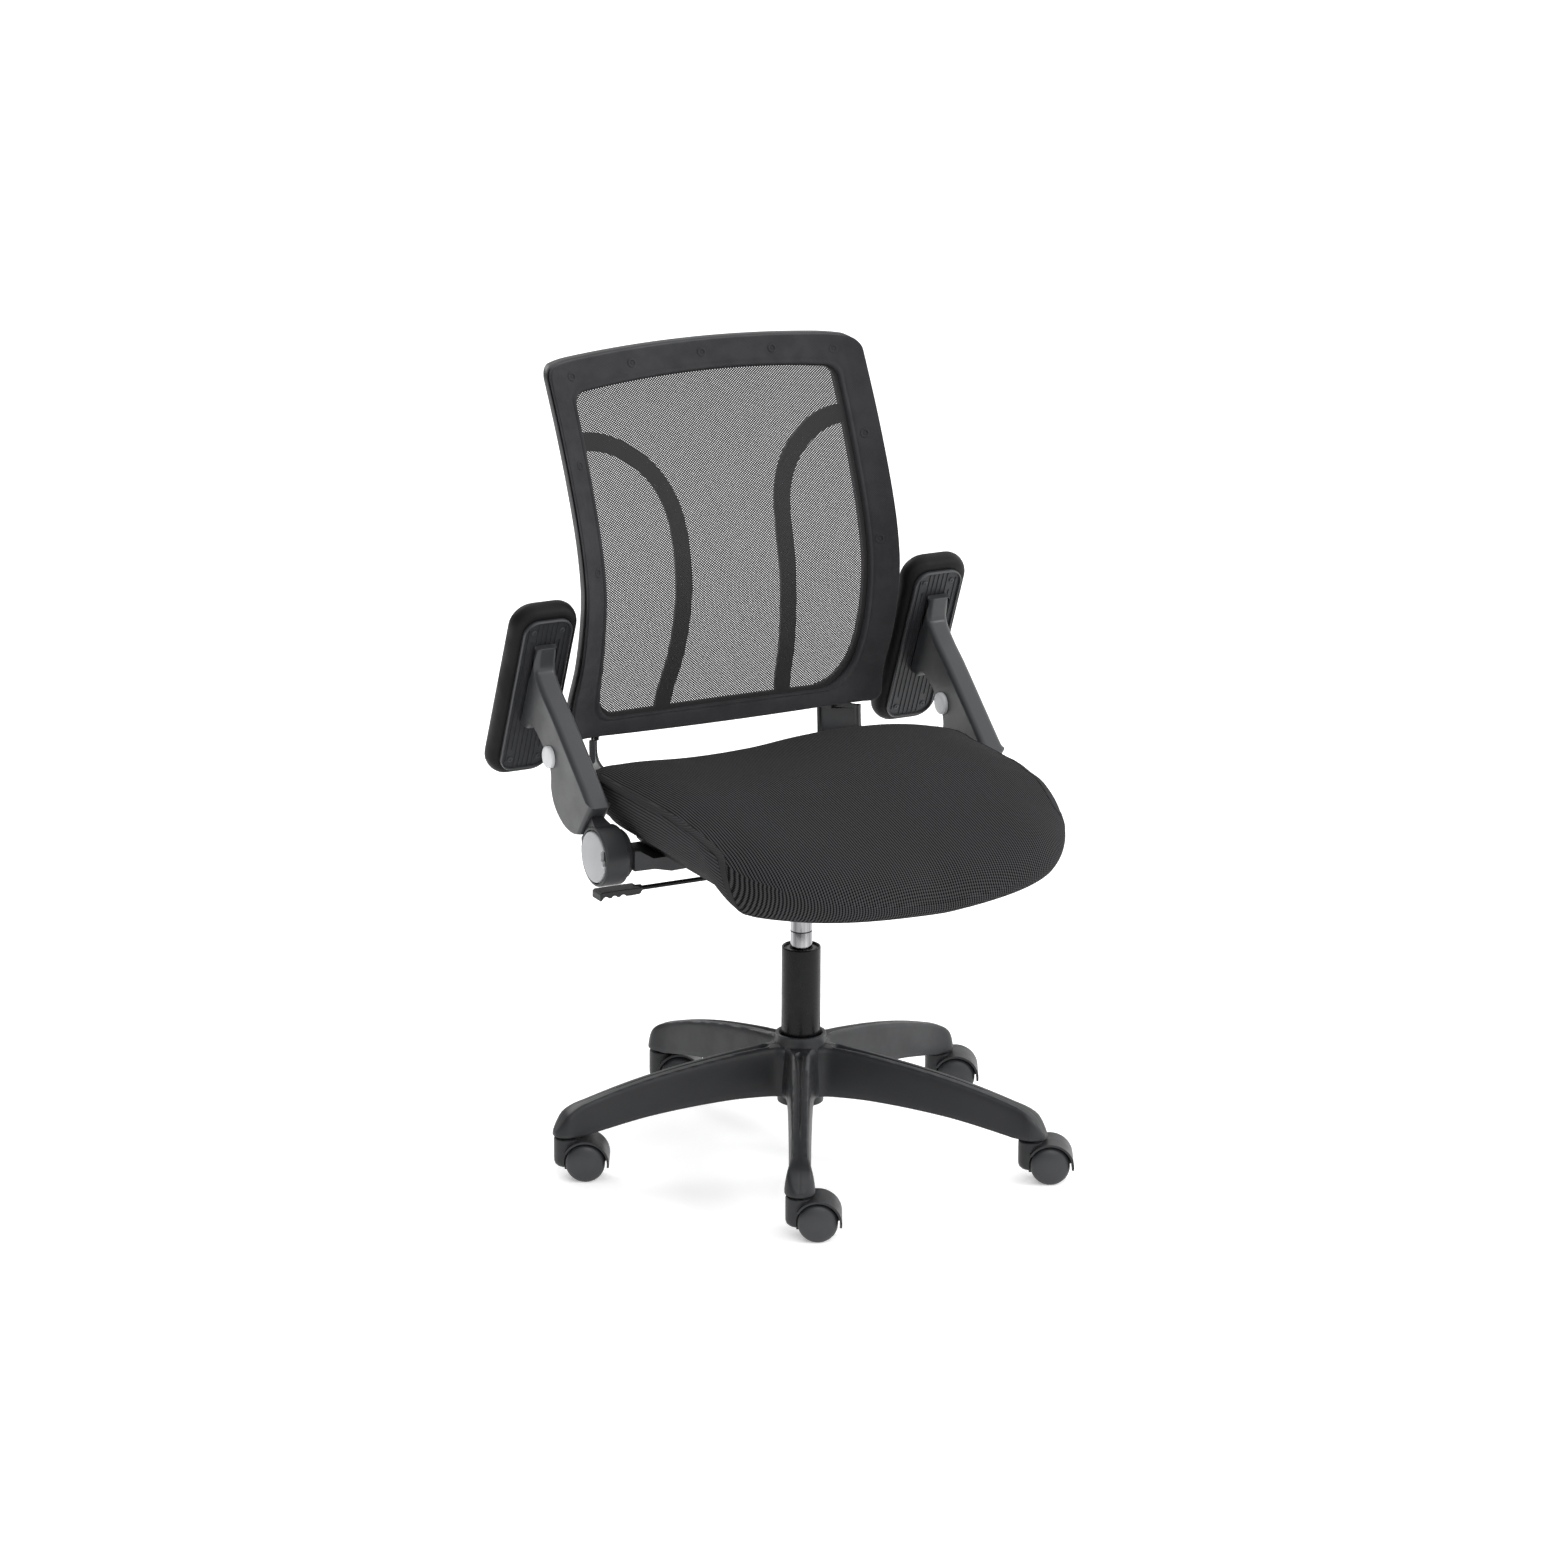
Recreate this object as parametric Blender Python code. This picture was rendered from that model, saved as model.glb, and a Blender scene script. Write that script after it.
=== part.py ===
"""Swivel office chair with a mesh back, flip-up arms, a gas lift and a five-star base on casters.

Metres, +Z up. The chair faces -Y, and the sitter's left hand is towards +X. Every shape is written in
the chair's own frame, whose Z axis is the lift column and whose floor is z = 0. That frame is shifted
sideways by COLUMN_X and COLUMN_Y, so that the box round the whole chair stands centred on the origin.
"""
import math

import bmesh
import bpy
from mathutils import Matrix, Vector

# Where the lift column stands, so that the chair's outer box is centred on the origin.
COLUMN_X = -0.0055
COLUMN_Y = 0.0316
GAP = 0.0003

# Star base and casters.
STAR_TURN = math.radians(-27.8)
LEG_COUNT = 5
STEM_CIRCLE = 0.309
LEG_END_RADIUS = 0.0195
LEG_FOOT_Z = 0.0575
HUB_TOP_Z = 0.1646
HUB_FOOT_Z = 0.072
HUB_BORE = 0.0262
STEM_RADIUS = 0.0055
STEM_TOP_Z = 0.0795
WHEEL_RADIUS = 0.025
WHEEL_TRAIL = 0.0225
WHEEL_INNER_Y = 0.0062
WHEEL_OUTER_Y = 0.0268
WHEEL_SIDES = 18
HOOD_RADIUS = 0.0178
HOOD_TOP_Z = 0.054
FENDER_INNER = 0.0274
FENDER_OUTER = 0.0302
FENDER_HALF_WIDTH = 0.0255

# Gas lift.
TUBE_RADIUS = 0.025
TUBE_BORE = 0.0218
TUBE_FOOT_Z = 0.0755
TUBE_TOP_Z = 0.2791
CYLINDER_RADIUS = 0.014
CYLINDER_FOOT_Z = 0.19
CYLINDER_TOP_Z = 0.405
PISTON_RADIUS = 0.005

# Tilt mechanism.
TILT_Y = -0.030
TILT_Z = 0.412
AXLE_RADIUS = 0.0052
HOUSING_HALF_WIDTH = 0.046
HOUSING_WALL = 0.003
LEVER_Y = 0.040
LEVER_Z = 0.3735
LEVER_PIVOT_X = -0.0445
KNOB_Y = -0.058

# Seat.
SEAT_HALF_WIDTH = 0.2475
SEAT_REAR_Y = 0.117
SEAT_FRONT_Y = -0.394
BOARD_HALF_WIDTH = 0.214
BOARD_REAR_Y = 0.098
BOARD_FRONT_Y = -0.320
BOARD_LOW_Z = 0.4385
BOARD_HIGH_Z = 0.4495

# Back. Heights are given at the side edges, and the arches lift the middle.
BACK_HALF_WIDTH = 0.2225
BACK_LOW_Z = 0.524
BACK_HIGH_Z = 0.9935
BACK_TOP_ARCH = 0.013
BACK_FOOT_ARCH = -0.003
BACK_CORNER = 0.014
WINDOW_HALF_WIDTH = 0.183
WINDOW_LOW_Z = 0.5500
WINDOW_HIGH_Z = 0.9570
WINDOW_TOP_ARCH = 0.012
WINDOW_FOOT_ARCH = 0.002
WINDOW_TOP_CORNER = 0.011
WINDOW_FOOT_CORNER = 0.022
MESH_HALF_WIDTH = 0.189
MESH_LOW_Z = 0.540
MESH_HIGH_Z = 0.9640
RIB_HALF_WIDTH = 0.011
UPRIGHT_WIDTH = 0.066
UPRIGHT_THICKNESS = 0.008
UPRIGHT_TURN = math.radians(62)
TONGUE_CENTRE = (0.1665, 0.2520)
TONGUE_WIDTH = 0.024
TONGUE_TOP_Z = 0.5490

# Arms: x is the distance out from the chair's middle plane.
ARM_PIVOT_Y = -0.005
ARM_PIVOT_Z = 0.438
ARM_SLOPE = math.radians(41)
ARM_X = 0.281
HUB_RADIUS = 0.038
HUB_INNER_X = 0.2626
HUB_OUTER_X = 0.2944
PIN_RADIUS = 0.0085
SLEEVE_HALF_WIDTH = 0.015
PAD_LEAN = math.radians(22)
PAD_X = 0.279
PAD_CENTRE = 0.4800
PAD_LENGTH = 0.258
PAD_WIDTH = 0.091
PAD_THICKNESS = 0.031
PAD_UNDERSIDE = 0.4056
PLATE_THICKNESS = 0.004
FOOT_LOW = 0.4394
FOOT_HIGH = 0.5600
BUTTON_RADIUS = 0.0145
BUTTON_ALONG = 0.157
BUTTON_ACROSS = -0.0069


# ---------------------------------------------------------------- curves

def smooth_value(knots, x):
    """The value at x of a smooth curve through the (x, value) knots, which are in rising x."""
    x = min(max(x, knots[0][0]), knots[-1][0])
    spot = max(i for i in range(len(knots) - 1) if knots[i][0] <= x)
    slopes = []
    for i in (spot, spot + 1):
        before, after = knots[max(i - 1, 0)], knots[min(i + 1, len(knots) - 1)]
        slopes.append((after[1] - before[1]) / (after[0] - before[0]))
    (x0, y0), (x1, y1) = knots[spot], knots[spot + 1]
    width = x1 - x0
    t = (x - x0) / width
    rise = (y1 - y0) * (3 - 2 * t) * t * t
    return y0 + rise + width * t * (1 - t) * (slopes[0] * (1 - t) - slopes[1] * t)


def smooth_path(points, steps):
    """Points along a smooth curve through the given ones, with this many steps between each pair."""
    count = len(points)
    axes = [[(i, point[axis]) for i, point in enumerate(points)] for axis in range(len(points[0]))]
    spots = [i / steps for i in range((count - 1) * steps + 1)]
    return [tuple(smooth_value(knots, spot) for knots in axes) for spot in spots]


def arc(centre, radius, start, end, count):
    """Points on a circle's arc, from one angle to another in degrees."""
    angles = [math.radians(start + (end - start) * i / (count - 1)) for i in range(count)]
    return [(centre[0] + radius * math.cos(a), centre[1] + radius * math.sin(a)) for a in angles]


def round_rectangle(half_width, low, high, radius, side_steps=1, corner_steps=3, foot_radius=None):
    """A closed outline of (x, z) points with round corners, anticlockwise from the right side's head."""
    corners = [(half_width, high, 0), (-half_width, high, 90), (-half_width, low, 180),
               (half_width, low, 270)]
    outline = []
    for x, z, angle in corners:
        if angle == 180 and foot_radius:
            radius = foot_radius
        centre = (x - math.copysign(radius, x), z - (radius if angle < 180 else -radius))
        outline.append(arc(centre, radius, angle, angle + 90, corner_steps + 1))
    points = []
    for i, corner in enumerate(outline):
        after = outline[(i + 1) % 4][0]
        points += corner
        for step in range(1, side_steps):
            share = step / side_steps
            points.append(tuple(a + (b - a) * share for a, b in zip(corner[-1], after)))
    return points


# ---------------------------------------------------------------- meshes

def mesh_of(vertices, faces):
    """A closed mesh with its faces turned outwards."""
    shape = bmesh.new()
    corners = [shape.verts.new(vertex) for vertex in vertices]
    for face in faces:
        shape.faces.new([corners[i] for i in face])
    bmesh.ops.recalc_face_normals(shape, faces=shape.faces)
    mesh = bpy.data.meshes.new("shape")
    shape.to_mesh(mesh)
    shape.free()
    return mesh


def loft(rings, endless=False):
    """A skin over rings of equal count: capped at both ends, or joined end to end when endless."""
    size = len(rings[0])
    vertices = [point for ring in rings for point in ring]
    faces = []
    for i in range(len(rings) if endless else len(rings) - 1):
        low, high = i * size, (i + 1) % len(rings) * size
        for j in range(size):
            k = (j + 1) % size
            faces.append((low + j, low + k, high + k, high + j))
    if not endless:
        faces += [tuple(range(size)), tuple(range(len(vertices) - size, len(vertices)))]
    return mesh_of(vertices, faces)


def prism(outline, low, high, place):
    """A flat outline carried from one level to another. place(a, b, level) gives the point in space."""
    return loft([[place(a, b, level) for a, b in outline] for level in (low, high)])


def along_x(y, z, x):
    return (x, y, z)


def along_y(x, z, y):
    return (x, y, z)


def along_z(x, y, z):
    return (x, y, z)


def lathe(profile, sides, place=along_z, start=0.0):
    """A turned solid from (radius, height) points: from axis to axis, or a closed loop round a bore."""
    vertices, rows = [], []
    for radius, height in profile:
        rows.append([len(vertices) + i for i in range(sides if radius else 1)]
                    if radius else [len(vertices)] * sides)
        for i in range(sides if radius else 1):
            angle = start + 2 * math.pi * i / sides
            vertices.append(place(radius * math.cos(angle), radius * math.sin(angle), height))
    pairs = list(zip(rows, rows[1:]))
    if profile[0][0]:
        pairs.append((rows[-1], rows[0]))
    faces = []
    for low, high in pairs:
        for i in range(sides):
            j = (i + 1) % sides
            faces.append(tuple(dict.fromkeys((low[i], low[j], high[j], high[i]))))
    return mesh_of(vertices, faces)


def box(low, high):
    outline = [(low[0], low[1]), (high[0], low[1]), (high[0], high[1]), (low[0], high[1])]
    return prism(outline, low[2], high[2], along_z)


def moved(mesh, offset):
    mesh.transform(Matrix.Translation(offset))
    return mesh


def shaped(mesh, cuts=(), joins=(), bevel=0.0, bevel_angle=30):
    """The mesh after a bevel, then joined to some meshes and cut by others."""
    target = bpy.data.objects.new("target", mesh)
    bpy.context.collection.objects.link(target)
    helpers = [target]
    if bevel:
        modifier = target.modifiers.new("Bevel", "BEVEL")
        modifier.width = bevel
        modifier.limit_method = "ANGLE"
        modifier.angle_limit = math.radians(bevel_angle)
    for operation, tools in (("UNION", joins), ("DIFFERENCE", cuts)):
        for tool in tools:
            helper = bpy.data.objects.new("tool", tool)
            bpy.context.collection.objects.link(helper)
            helpers.append(helper)
            modifier = target.modifiers.new("Boolean", "BOOLEAN")
            modifier.operation = operation
            modifier.object = helper
    graph = bpy.context.evaluated_depsgraph_get()
    result = bpy.data.meshes.new_from_object(target.evaluated_get(graph))
    for helper in helpers:
        bpy.data.objects.remove(helper)
    return result


# ---------------------------------------------------------------- scene

def clear_scene():
    for obj in list(bpy.data.objects):
        bpy.data.objects.remove(obj)


def material(name, colour, roughness, metallic=0.0):
    made = bpy.data.materials.new(name)
    made.use_nodes = True
    shader = made.node_tree.nodes["Principled BSDF"]
    shader.inputs["Base Color"].default_value = (*colour, 1)
    shader.inputs["Roughness"].default_value = roughness
    shader.inputs["Metallic"].default_value = metallic
    made.diffuse_color = (*colour, 1)
    return made


def joint(name, location, parent=None, turn=0.0):
    """An empty on a joint's axis, in the chair's frame. turn is its turn about Z."""
    empty = bpy.data.objects.new(name, None)
    empty.empty_display_size = 0.03
    bpy.context.collection.objects.link(empty)
    world = CHAIR @ Matrix.Translation(location) @ Matrix.Rotation(turn, 4, "Z")
    empty.parent = parent
    empty.matrix_basis = PLACES[parent.name].inverted() @ world if parent else world
    PLACES[name] = world
    return empty


def add_part(name, mesh, finish, parent, local=False):
    """A named piece under its joint. Its mesh is in the chair's frame, or the joint's own when local."""
    if not local:
        mesh.transform(PLACES[parent.name].inverted() @ CHAIR)
    mesh.materials.clear()
    mesh.materials.append(finish)
    mesh.name = name
    mesh.shade_smooth()
    mesh.set_sharp_from_angle(angle=math.radians(35))
    part = bpy.data.objects.new(name, mesh)
    bpy.context.collection.objects.link(part)
    part.parent = parent
    return part


# ---------------------------------------------------------------- base

LEG_TOP = [(0.02, 0.1530), (0.10, 0.1432), (0.20, 0.1243), (0.28, 0.1015), (0.312, 0.0865),
           (0.3285, 0.0610)]
LEG_FOOT = [(0.02, 0.0860), (0.10, 0.0855), (0.20, 0.0752), (0.28, 0.0592), (0.2885, LEG_FOOT_Z),
            (0.33, LEG_FOOT_Z)]
LEG_HALF_WIDTH = [(0.02, 0.0180), (0.10, 0.0160), (0.24, 0.0142), (0.285, 0.0150), (0.309, LEG_END_RADIUS)]
LEG_STATIONS = (0.027, 0.07, 0.12, 0.17, 0.22, 0.26, 0.285, 0.298, 0.309, 0.318, 0.3245, 0.328)
# Half of a leg's section, from its foot to its top: shares of the half width and of the height.
LEG_SECTION = [(0.92, 0.0), (1.0, 0.10), (0.86, 0.72), (0.68, 0.94), (0.36, 1.0)]


def leg_mesh(turn):
    rings = []
    for along in LEG_STATIONS:
        half = smooth_value(LEG_HALF_WIDTH, along)
        if along > STEM_CIRCLE:
            half = math.sqrt(LEG_END_RADIUS**2 - (along - STEM_CIRCLE) ** 2)
        low, high = smooth_value(LEG_FOOT, along), smooth_value(LEG_TOP, along)
        side = [(half * wide, low + (high - low) * tall) for wide, tall in LEG_SECTION]
        groove = [(0.0, high - 0.02 * (high - low))]
        section = side + groove + [(-y, z) for y, z in reversed(side)]
        rings.append([(along, y, z) for y, z in section])
    mesh = loft(rings)
    mesh.transform(Matrix.Rotation(turn, 4, "Z"))
    return mesh


def leg_turn(index):
    """A leg's heading from +X: the first leg points forwards, turned by STAR_TURN."""
    return math.radians(-90) + STAR_TURN + 2 * math.pi * index / LEG_COUNT


def stem_place(index):
    return (STEM_CIRCLE * math.cos(leg_turn(index)), STEM_CIRCLE * math.sin(leg_turn(index)), 0)


def star_base_mesh():
    hub = lathe(
        [
            (HUB_BORE, HUB_FOOT_Z), (0.0288, HUB_FOOT_Z), (0.0295, HUB_FOOT_Z + 0.001), (0.0295, 0.0845),
            (0.0335, 0.0880), (0.0335, 0.150), (0.0325, 0.158), (0.0325, 0.1638), (0.0317, HUB_TOP_Z),
            (0.0285, HUB_TOP_Z), (HUB_BORE, HUB_TOP_Z - 0.003),
        ],
        30,
    )
    legs = [leg_mesh(leg_turn(i)) for i in range(LEG_COUNT)]
    holes = []
    for i in range(LEG_COUNT):
        hole = lathe([(0, 0.05), (0.0062, 0.05), (0.0062, STEM_TOP_Z + 0.0005), (0, STEM_TOP_Z + 0.0005)],
                     12)
        holes.append(moved(hole, stem_place(i)))
    return shaped(hub, joins=legs, cuts=holes)


def stem_mesh(index):
    profile = [(0, 0.024), (0.0040, 0.024), (0.0040, 0.0470), (STEM_RADIUS, 0.0485), (STEM_RADIUS, 0.0545),
               (0.0095, 0.0545), (0.0095, 0.0569), (STEM_RADIUS, 0.0569), (STEM_RADIUS, STEM_TOP_Z),
               (0, STEM_TOP_Z)]
    return moved(lathe(profile, 12), stem_place(index))


def outer_tube_mesh():
    profile = [(0, TUBE_FOOT_Z), (TUBE_RADIUS - 0.001, TUBE_FOOT_Z), (TUBE_RADIUS, TUBE_FOOT_Z + 0.004),
               (TUBE_RADIUS, TUBE_TOP_Z - 0.0008), (TUBE_RADIUS - 0.0008, TUBE_TOP_Z),
               (TUBE_BORE + 0.001, TUBE_TOP_Z), (TUBE_BORE, TUBE_TOP_Z - 0.001),
               (TUBE_BORE, TUBE_FOOT_Z + 0.004), (0, TUBE_FOOT_Z + 0.004)]
    return lathe(profile, 28)


def ring_mesh(inner, outer, low, high, sides):
    return lathe([(inner, low), (outer, low), (outer, high), (inner, high)], sides)


# ---------------------------------------------------------------- casters

def hood_mesh():
    """The swivelling hood in its own frame: the stem is its Z axis, and the wheels trail towards +X."""
    centre = (WHEEL_TRAIL, WHEEL_RADIUS)
    housing = lathe([(0, 0.0175), (HOOD_RADIUS - 0.002, 0.0175), (HOOD_RADIUS, 0.0195),
                     (HOOD_RADIUS, HOOD_TOP_Z - 0.0012), (HOOD_RADIUS - 0.0012, HOOD_TOP_Z),
                     (0, HOOD_TOP_Z)], 20)
    fender = arc(centre, FENDER_OUTER, -8, 150, 12) + arc(centre, FENDER_INNER, 150, -8, 12)
    web = arc(centre, 0.0285, 0, 178, 8) + [(-0.004, 0.012), (WHEEL_TRAIL, 0.0125),
                                            (WHEEL_TRAIL + 0.012, 0.016)]
    cuts = []
    inside, outside = WHEEL_INNER_Y - GAP, GAP - WHEEL_INNER_Y
    for turn in (lambda x, z, y: (x, inside + y, z), lambda x, z, y: (x, outside - y, z)):
        well = lathe([(0, 0), (0.0268, 0), (0.0268, 0.03), (0, 0.03)], 28, turn)
        cuts.append(moved(well, (WHEEL_TRAIL, 0, WHEEL_RADIUS)))
    axle_hole = lathe([(0, -0.01), (0.0034, -0.01), (0.0034, 0.01), (0, 0.01)], 10, along_y)
    cuts.append(moved(axle_hole, (WHEEL_TRAIL, 0, WHEEL_RADIUS)))
    cuts.append(lathe([(0, 0.0235), (0.0044, 0.0235), (0.0044, 0.0465), (0.0062, 0.0480), (0.0062, 0.06),
                       (0, 0.06)], 12))
    joins = [
        prism(fender, -FENDER_HALF_WIDTH, FENDER_HALF_WIDTH, along_y),
        prism(web, -0.0056, 0.0056, along_y),
    ]
    return shaped(housing, joins=joins, cuts=cuts)


def wheel_mesh(side):
    """One of the twin wheels, with a facet lying flat on the floor. side is +1 or -1 along the axle."""
    grow = 1 / math.cos(math.pi / WHEEL_SIDES)
    tread = WHEEL_RADIUS * grow
    profile = [
        (0, WHEEL_OUTER_Y), (0.0195, WHEEL_OUTER_Y - 0.0013), (tread - 0.0004, 0.0222), (tread, 0.0205),
        (tread, 0.0075), (0.0228, WHEEL_INNER_Y), (0.0034, WHEEL_INNER_Y), (0.0034, 0.0200), (0, 0.0200),
    ]
    start = math.radians(-90) + math.pi / WHEEL_SIDES
    mesh = lathe(profile, WHEEL_SIDES, lambda x, z, y: (x, side * y, z), start)
    return moved(mesh, (WHEEL_TRAIL, 0, WHEEL_RADIUS))


def axle_mesh():
    rod = lathe([(0, -0.0195), (0.003, -0.0195), (0.003, 0.0195), (0, 0.0195)], 10, along_y)
    return moved(rod, (WHEEL_TRAIL, 0, WHEEL_RADIUS))


# ---------------------------------------------------------------- lift and tilt mechanism

def gas_cylinder_mesh():
    profile = [
        (0, 0.372), (0.0058, 0.372), (0.0058, CYLINDER_FOOT_Z), (CYLINDER_RADIUS, CYLINDER_FOOT_Z),
        (CYLINDER_RADIUS, 0.362), (CYLINDER_RADIUS - 0.0008, CYLINDER_TOP_Z), (0.0045, CYLINDER_TOP_Z),
        (0.0045, 0.3965), (0, 0.3965),
    ]
    return lathe(profile, 24)


def across(radius, half_length, y, z, sides=14):
    """A rod lying along X, for axles and the holes that they turn in."""
    rod = lathe([(0, -half_length), (radius, -half_length), (radius, half_length), (0, half_length)], sides,
                along_x)
    return moved(rod, (0, y, z))


def housing_mesh():
    outer = [(-0.082, 0.375), (-0.066, 0.360), (0.066, 0.360), (0.082, 0.374), (0.082, 0.401),
             (-0.030, 0.4295), (-0.082, 0.4295)]
    inner = [(-0.079, 0.378), (-0.064, 0.364), (0.064, 0.364), (0.079, 0.377), (0.079, 0.45),
             (-0.079, 0.45)]
    inside = HOUSING_HALF_WIDTH - HOUSING_WALL
    socket = lathe([(0, 0.3602), (0.0205, 0.3602), (0.0195, 0.398), (0, 0.398)], 20)
    bore = lathe([(0, 0.35), (0.0146, 0.35), (0.0146, 0.41), (0, 0.41)], 20)
    knob_hole = moved(lathe([(0, 0.35), (0.0054, 0.35), (0.0054, 0.37), (0, 0.37)], 10), (0, KNOB_Y, 0))
    slot = box(
        (-HOUSING_HALF_WIDTH - 0.002, LEVER_Y - 0.0055, LEVER_Z - 0.0065),
        (-inside + 0.002, LEVER_Y + 0.0055, LEVER_Z + 0.0065),
    )
    tray = shaped(
        prism(outer, -HOUSING_HALF_WIDTH, HOUSING_HALF_WIDTH, along_x),
        cuts=[prism(inner, -inside, inside, along_x)],
    )
    return shaped(tray, joins=[socket], cuts=[bore, across(0.0057, 0.06, TILT_Y, TILT_Z), slot, knob_hole])


def seat_plate_mesh():
    plate = box((-0.085, -0.130, 0.4345), (0.085, 0.098, 0.4378))
    flange = [(-0.050, 0.4355), (-0.046, 0.404), (-0.036, 0.400), (-0.024, 0.400), (-0.014, 0.404),
              (-0.010, 0.4355)]
    flanges = [prism(flange, side * 0.0500, side * 0.0530, along_x) for side in (-1, 1)]
    return shaped(plate, joins=flanges, cuts=[across(0.0057, 0.06, TILT_Y, TILT_Z)])


def rod_mesh(points, radius, sides=8):
    """A round rod along a path that runs mostly along X, bending in any direction."""
    rings = []
    for i, point in enumerate(points):
        ahead = Vector(points[min(i + 1, len(points) - 1)]) - Vector(points[max(i - 1, 0)])
        turn = ahead.to_track_quat("Z", "Y")
        angles = [2 * math.pi * j / sides for j in range(sides)]
        ring = [turn @ Vector((radius * math.cos(a), radius * math.sin(a), 0)) for a in angles]
        rings.append([tuple(Vector(point) + offset) for offset in ring])
    return loft(rings)


def lever_rod_mesh():
    bend = [(-0.060, LEVER_Y, LEVER_Z), (-0.040, 0.039, 0.377), (-0.029, 0.029, 0.392),
            (-0.017, 0.014, 0.409), (-0.003, 0.001, 0.4152)]
    return rod_mesh([(-0.2122, LEVER_Y, LEVER_Z)] + smooth_path(bend, 2), 0.003)


def lever_handle_mesh():
    """A flat paddle with finger scallops along its underside."""
    low, high = LEVER_Z - 0.0045, LEVER_Z + 0.0045
    underside = []
    for i in range(3):
        underside += arc((-0.2615 + 0.012 * i, low - 0.0022), 0.0050, 140, 40, 4)
    outline = [(-0.2695, low - 0.002)] + underside + [(-0.222, low), (-0.2125, low + 0.002),
                                                      (-0.2125, high - 0.001), (-0.2675, high),
                                                      (-0.2695, high - 0.002)]
    return prism(outline, LEVER_Y - 0.012, LEVER_Y + 0.012, along_y)


def tension_knob_mesh():
    profile = [(0, 0.334), (0.019, 0.334), (0.021, 0.3365), (0.021, 0.353), (0.017, 0.3575),
               (0.0048, 0.3575), (0.0048, 0.372), (0, 0.372)]
    return moved(lathe(profile, 20), (0, KNOB_Y, 0))


# ---------------------------------------------------------------- seat

SEAT_EDGE = [(-0.394, 0.4560), (-0.375, 0.4650), (-0.345, 0.4755), (-0.30, 0.4870), (-0.267, 0.4950),
             (-0.20, 0.5080), (-0.15, 0.5170), (-0.10, 0.5215), (0.115, 0.5215)]
# Rings from the cushion's underside, up round its side, to the middle of its top: (share of the
# outline, height over the board at the sides, the same at the front, share of the way to the top edge).
SEAT_RINGS = [(0.02, 0, 0, 0), (0.50, 0, 0, 0), (0.84, 0, 0, 0), (0.905, 0.0002, -0.0165, 0),
              (0.945, 0.0030, -0.0205, 0), (0.968, 0.0040, -0.0120, 0.15), (0.99, 0, 0, 0.62),
              (1.0, 0, 0, 0.93), (0.994, 0.0015, 0.0015, 1.0), (0.97, 0.0045, 0.0050, 1.0),
              (0.90, 0.0075, 0.0080, 1.0), (0.72, 0.0105, 0.0110, 1.0), (0.40, 0.0125, 0.0130, 1.0),
              (0.02, 0.0130, 0.0130, 1.0)]
SEAT_WAIST_Y = -0.145
SEAT_HEEL_Y = 0.010
SEAT_FOOT_Z = 0.4506


def seat_outline(count):
    """The cushion's plan: straight sides, a deep rounded front and tighter rear corners."""
    points = []
    for i in range(count):
        angle = 2 * math.pi * (i + 0.5) / count
        side, ahead = math.cos(angle), math.sin(angle)
        power, middle, reach = (3.0, SEAT_HEEL_Y, SEAT_REAR_Y - SEAT_HEEL_Y)
        if ahead < 0:
            power, middle, reach = (2.55, SEAT_WAIST_Y, SEAT_WAIST_Y - SEAT_FRONT_Y)
        x = SEAT_HALF_WIDTH * math.copysign(abs(side) ** (2 / power), side)
        points.append((x, middle + reach * math.copysign(abs(ahead) ** (2 / power), ahead)))
    return points


def cushion_rings(count):
    """Closed rings over the whole cushion, from the middle of its underside to the middle of its top."""
    centre_y = (SEAT_REAR_Y + SEAT_FRONT_Y) / 2
    rings = []
    for share, side_rise, front_rise, climb in SEAT_RINGS:
        ring = []
        for x, y in seat_outline(count):
            y = centre_y + (y - centre_y) * share
            front = min(max((-0.335 - y) / 0.025, 0), 1)
            low = SEAT_FOOT_Z + side_rise + (front_rise - side_rise) * front
            if climb == 0:
                ring.append((x * share, y, low))
                continue
            edge = smooth_value(SEAT_EDGE, y)
            lift = side_rise + (front_rise - side_rise) * front
            ring.append((x * share, y, SEAT_FOOT_Z + lift + (edge - SEAT_FOOT_Z) * climb))
        rings.append(ring)
    return rings


def board_mesh():
    outline = round_rectangle(BOARD_HALF_WIDTH, BOARD_FRONT_Y, BOARD_REAR_Y, 0.075, corner_steps=5)
    return prism(outline, BOARD_LOW_Z, BOARD_HIGH_Z, along_z)


# ---------------------------------------------------------------- back

BACK_PROFILE = [(0.52, 0.2000), (0.564, 0.1975), (0.626, 0.1710), (0.690, 0.1560), (0.735, 0.1550),
                (0.80, 0.1715), (0.897, 0.2140), (1.00, 0.2700), (1.03, 0.2870)]


BACK_DEPTH = [(0.52, 0.0140), (0.58, 0.0175), (0.66, 0.0205), (0.75, 0.0235), (0.84, 0.0240), (1.0, 0.0200)]
BACK_BULGE = [(0.52, 0.0010), (0.58, 0.0060), (0.63, 0.0050), (0.75, 0.0020), (1.0, 0.0020)]


def dish(x, z):
    """How far the back's face lies behind its side edges: a wing at each side, and a low bulge."""
    share = min(max((BACK_HALF_WIDTH - abs(x)) / 0.045, 0), 1)
    middle = 1 - min(abs(x) / BACK_HALF_WIDTH, 1) ** 2
    return smooth_value(BACK_DEPTH, z) * share * (2 - share) - smooth_value(BACK_BULGE, z) * middle


def back_y(x, z):
    return smooth_value(BACK_PROFILE, z) + dish(x, z)


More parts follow.
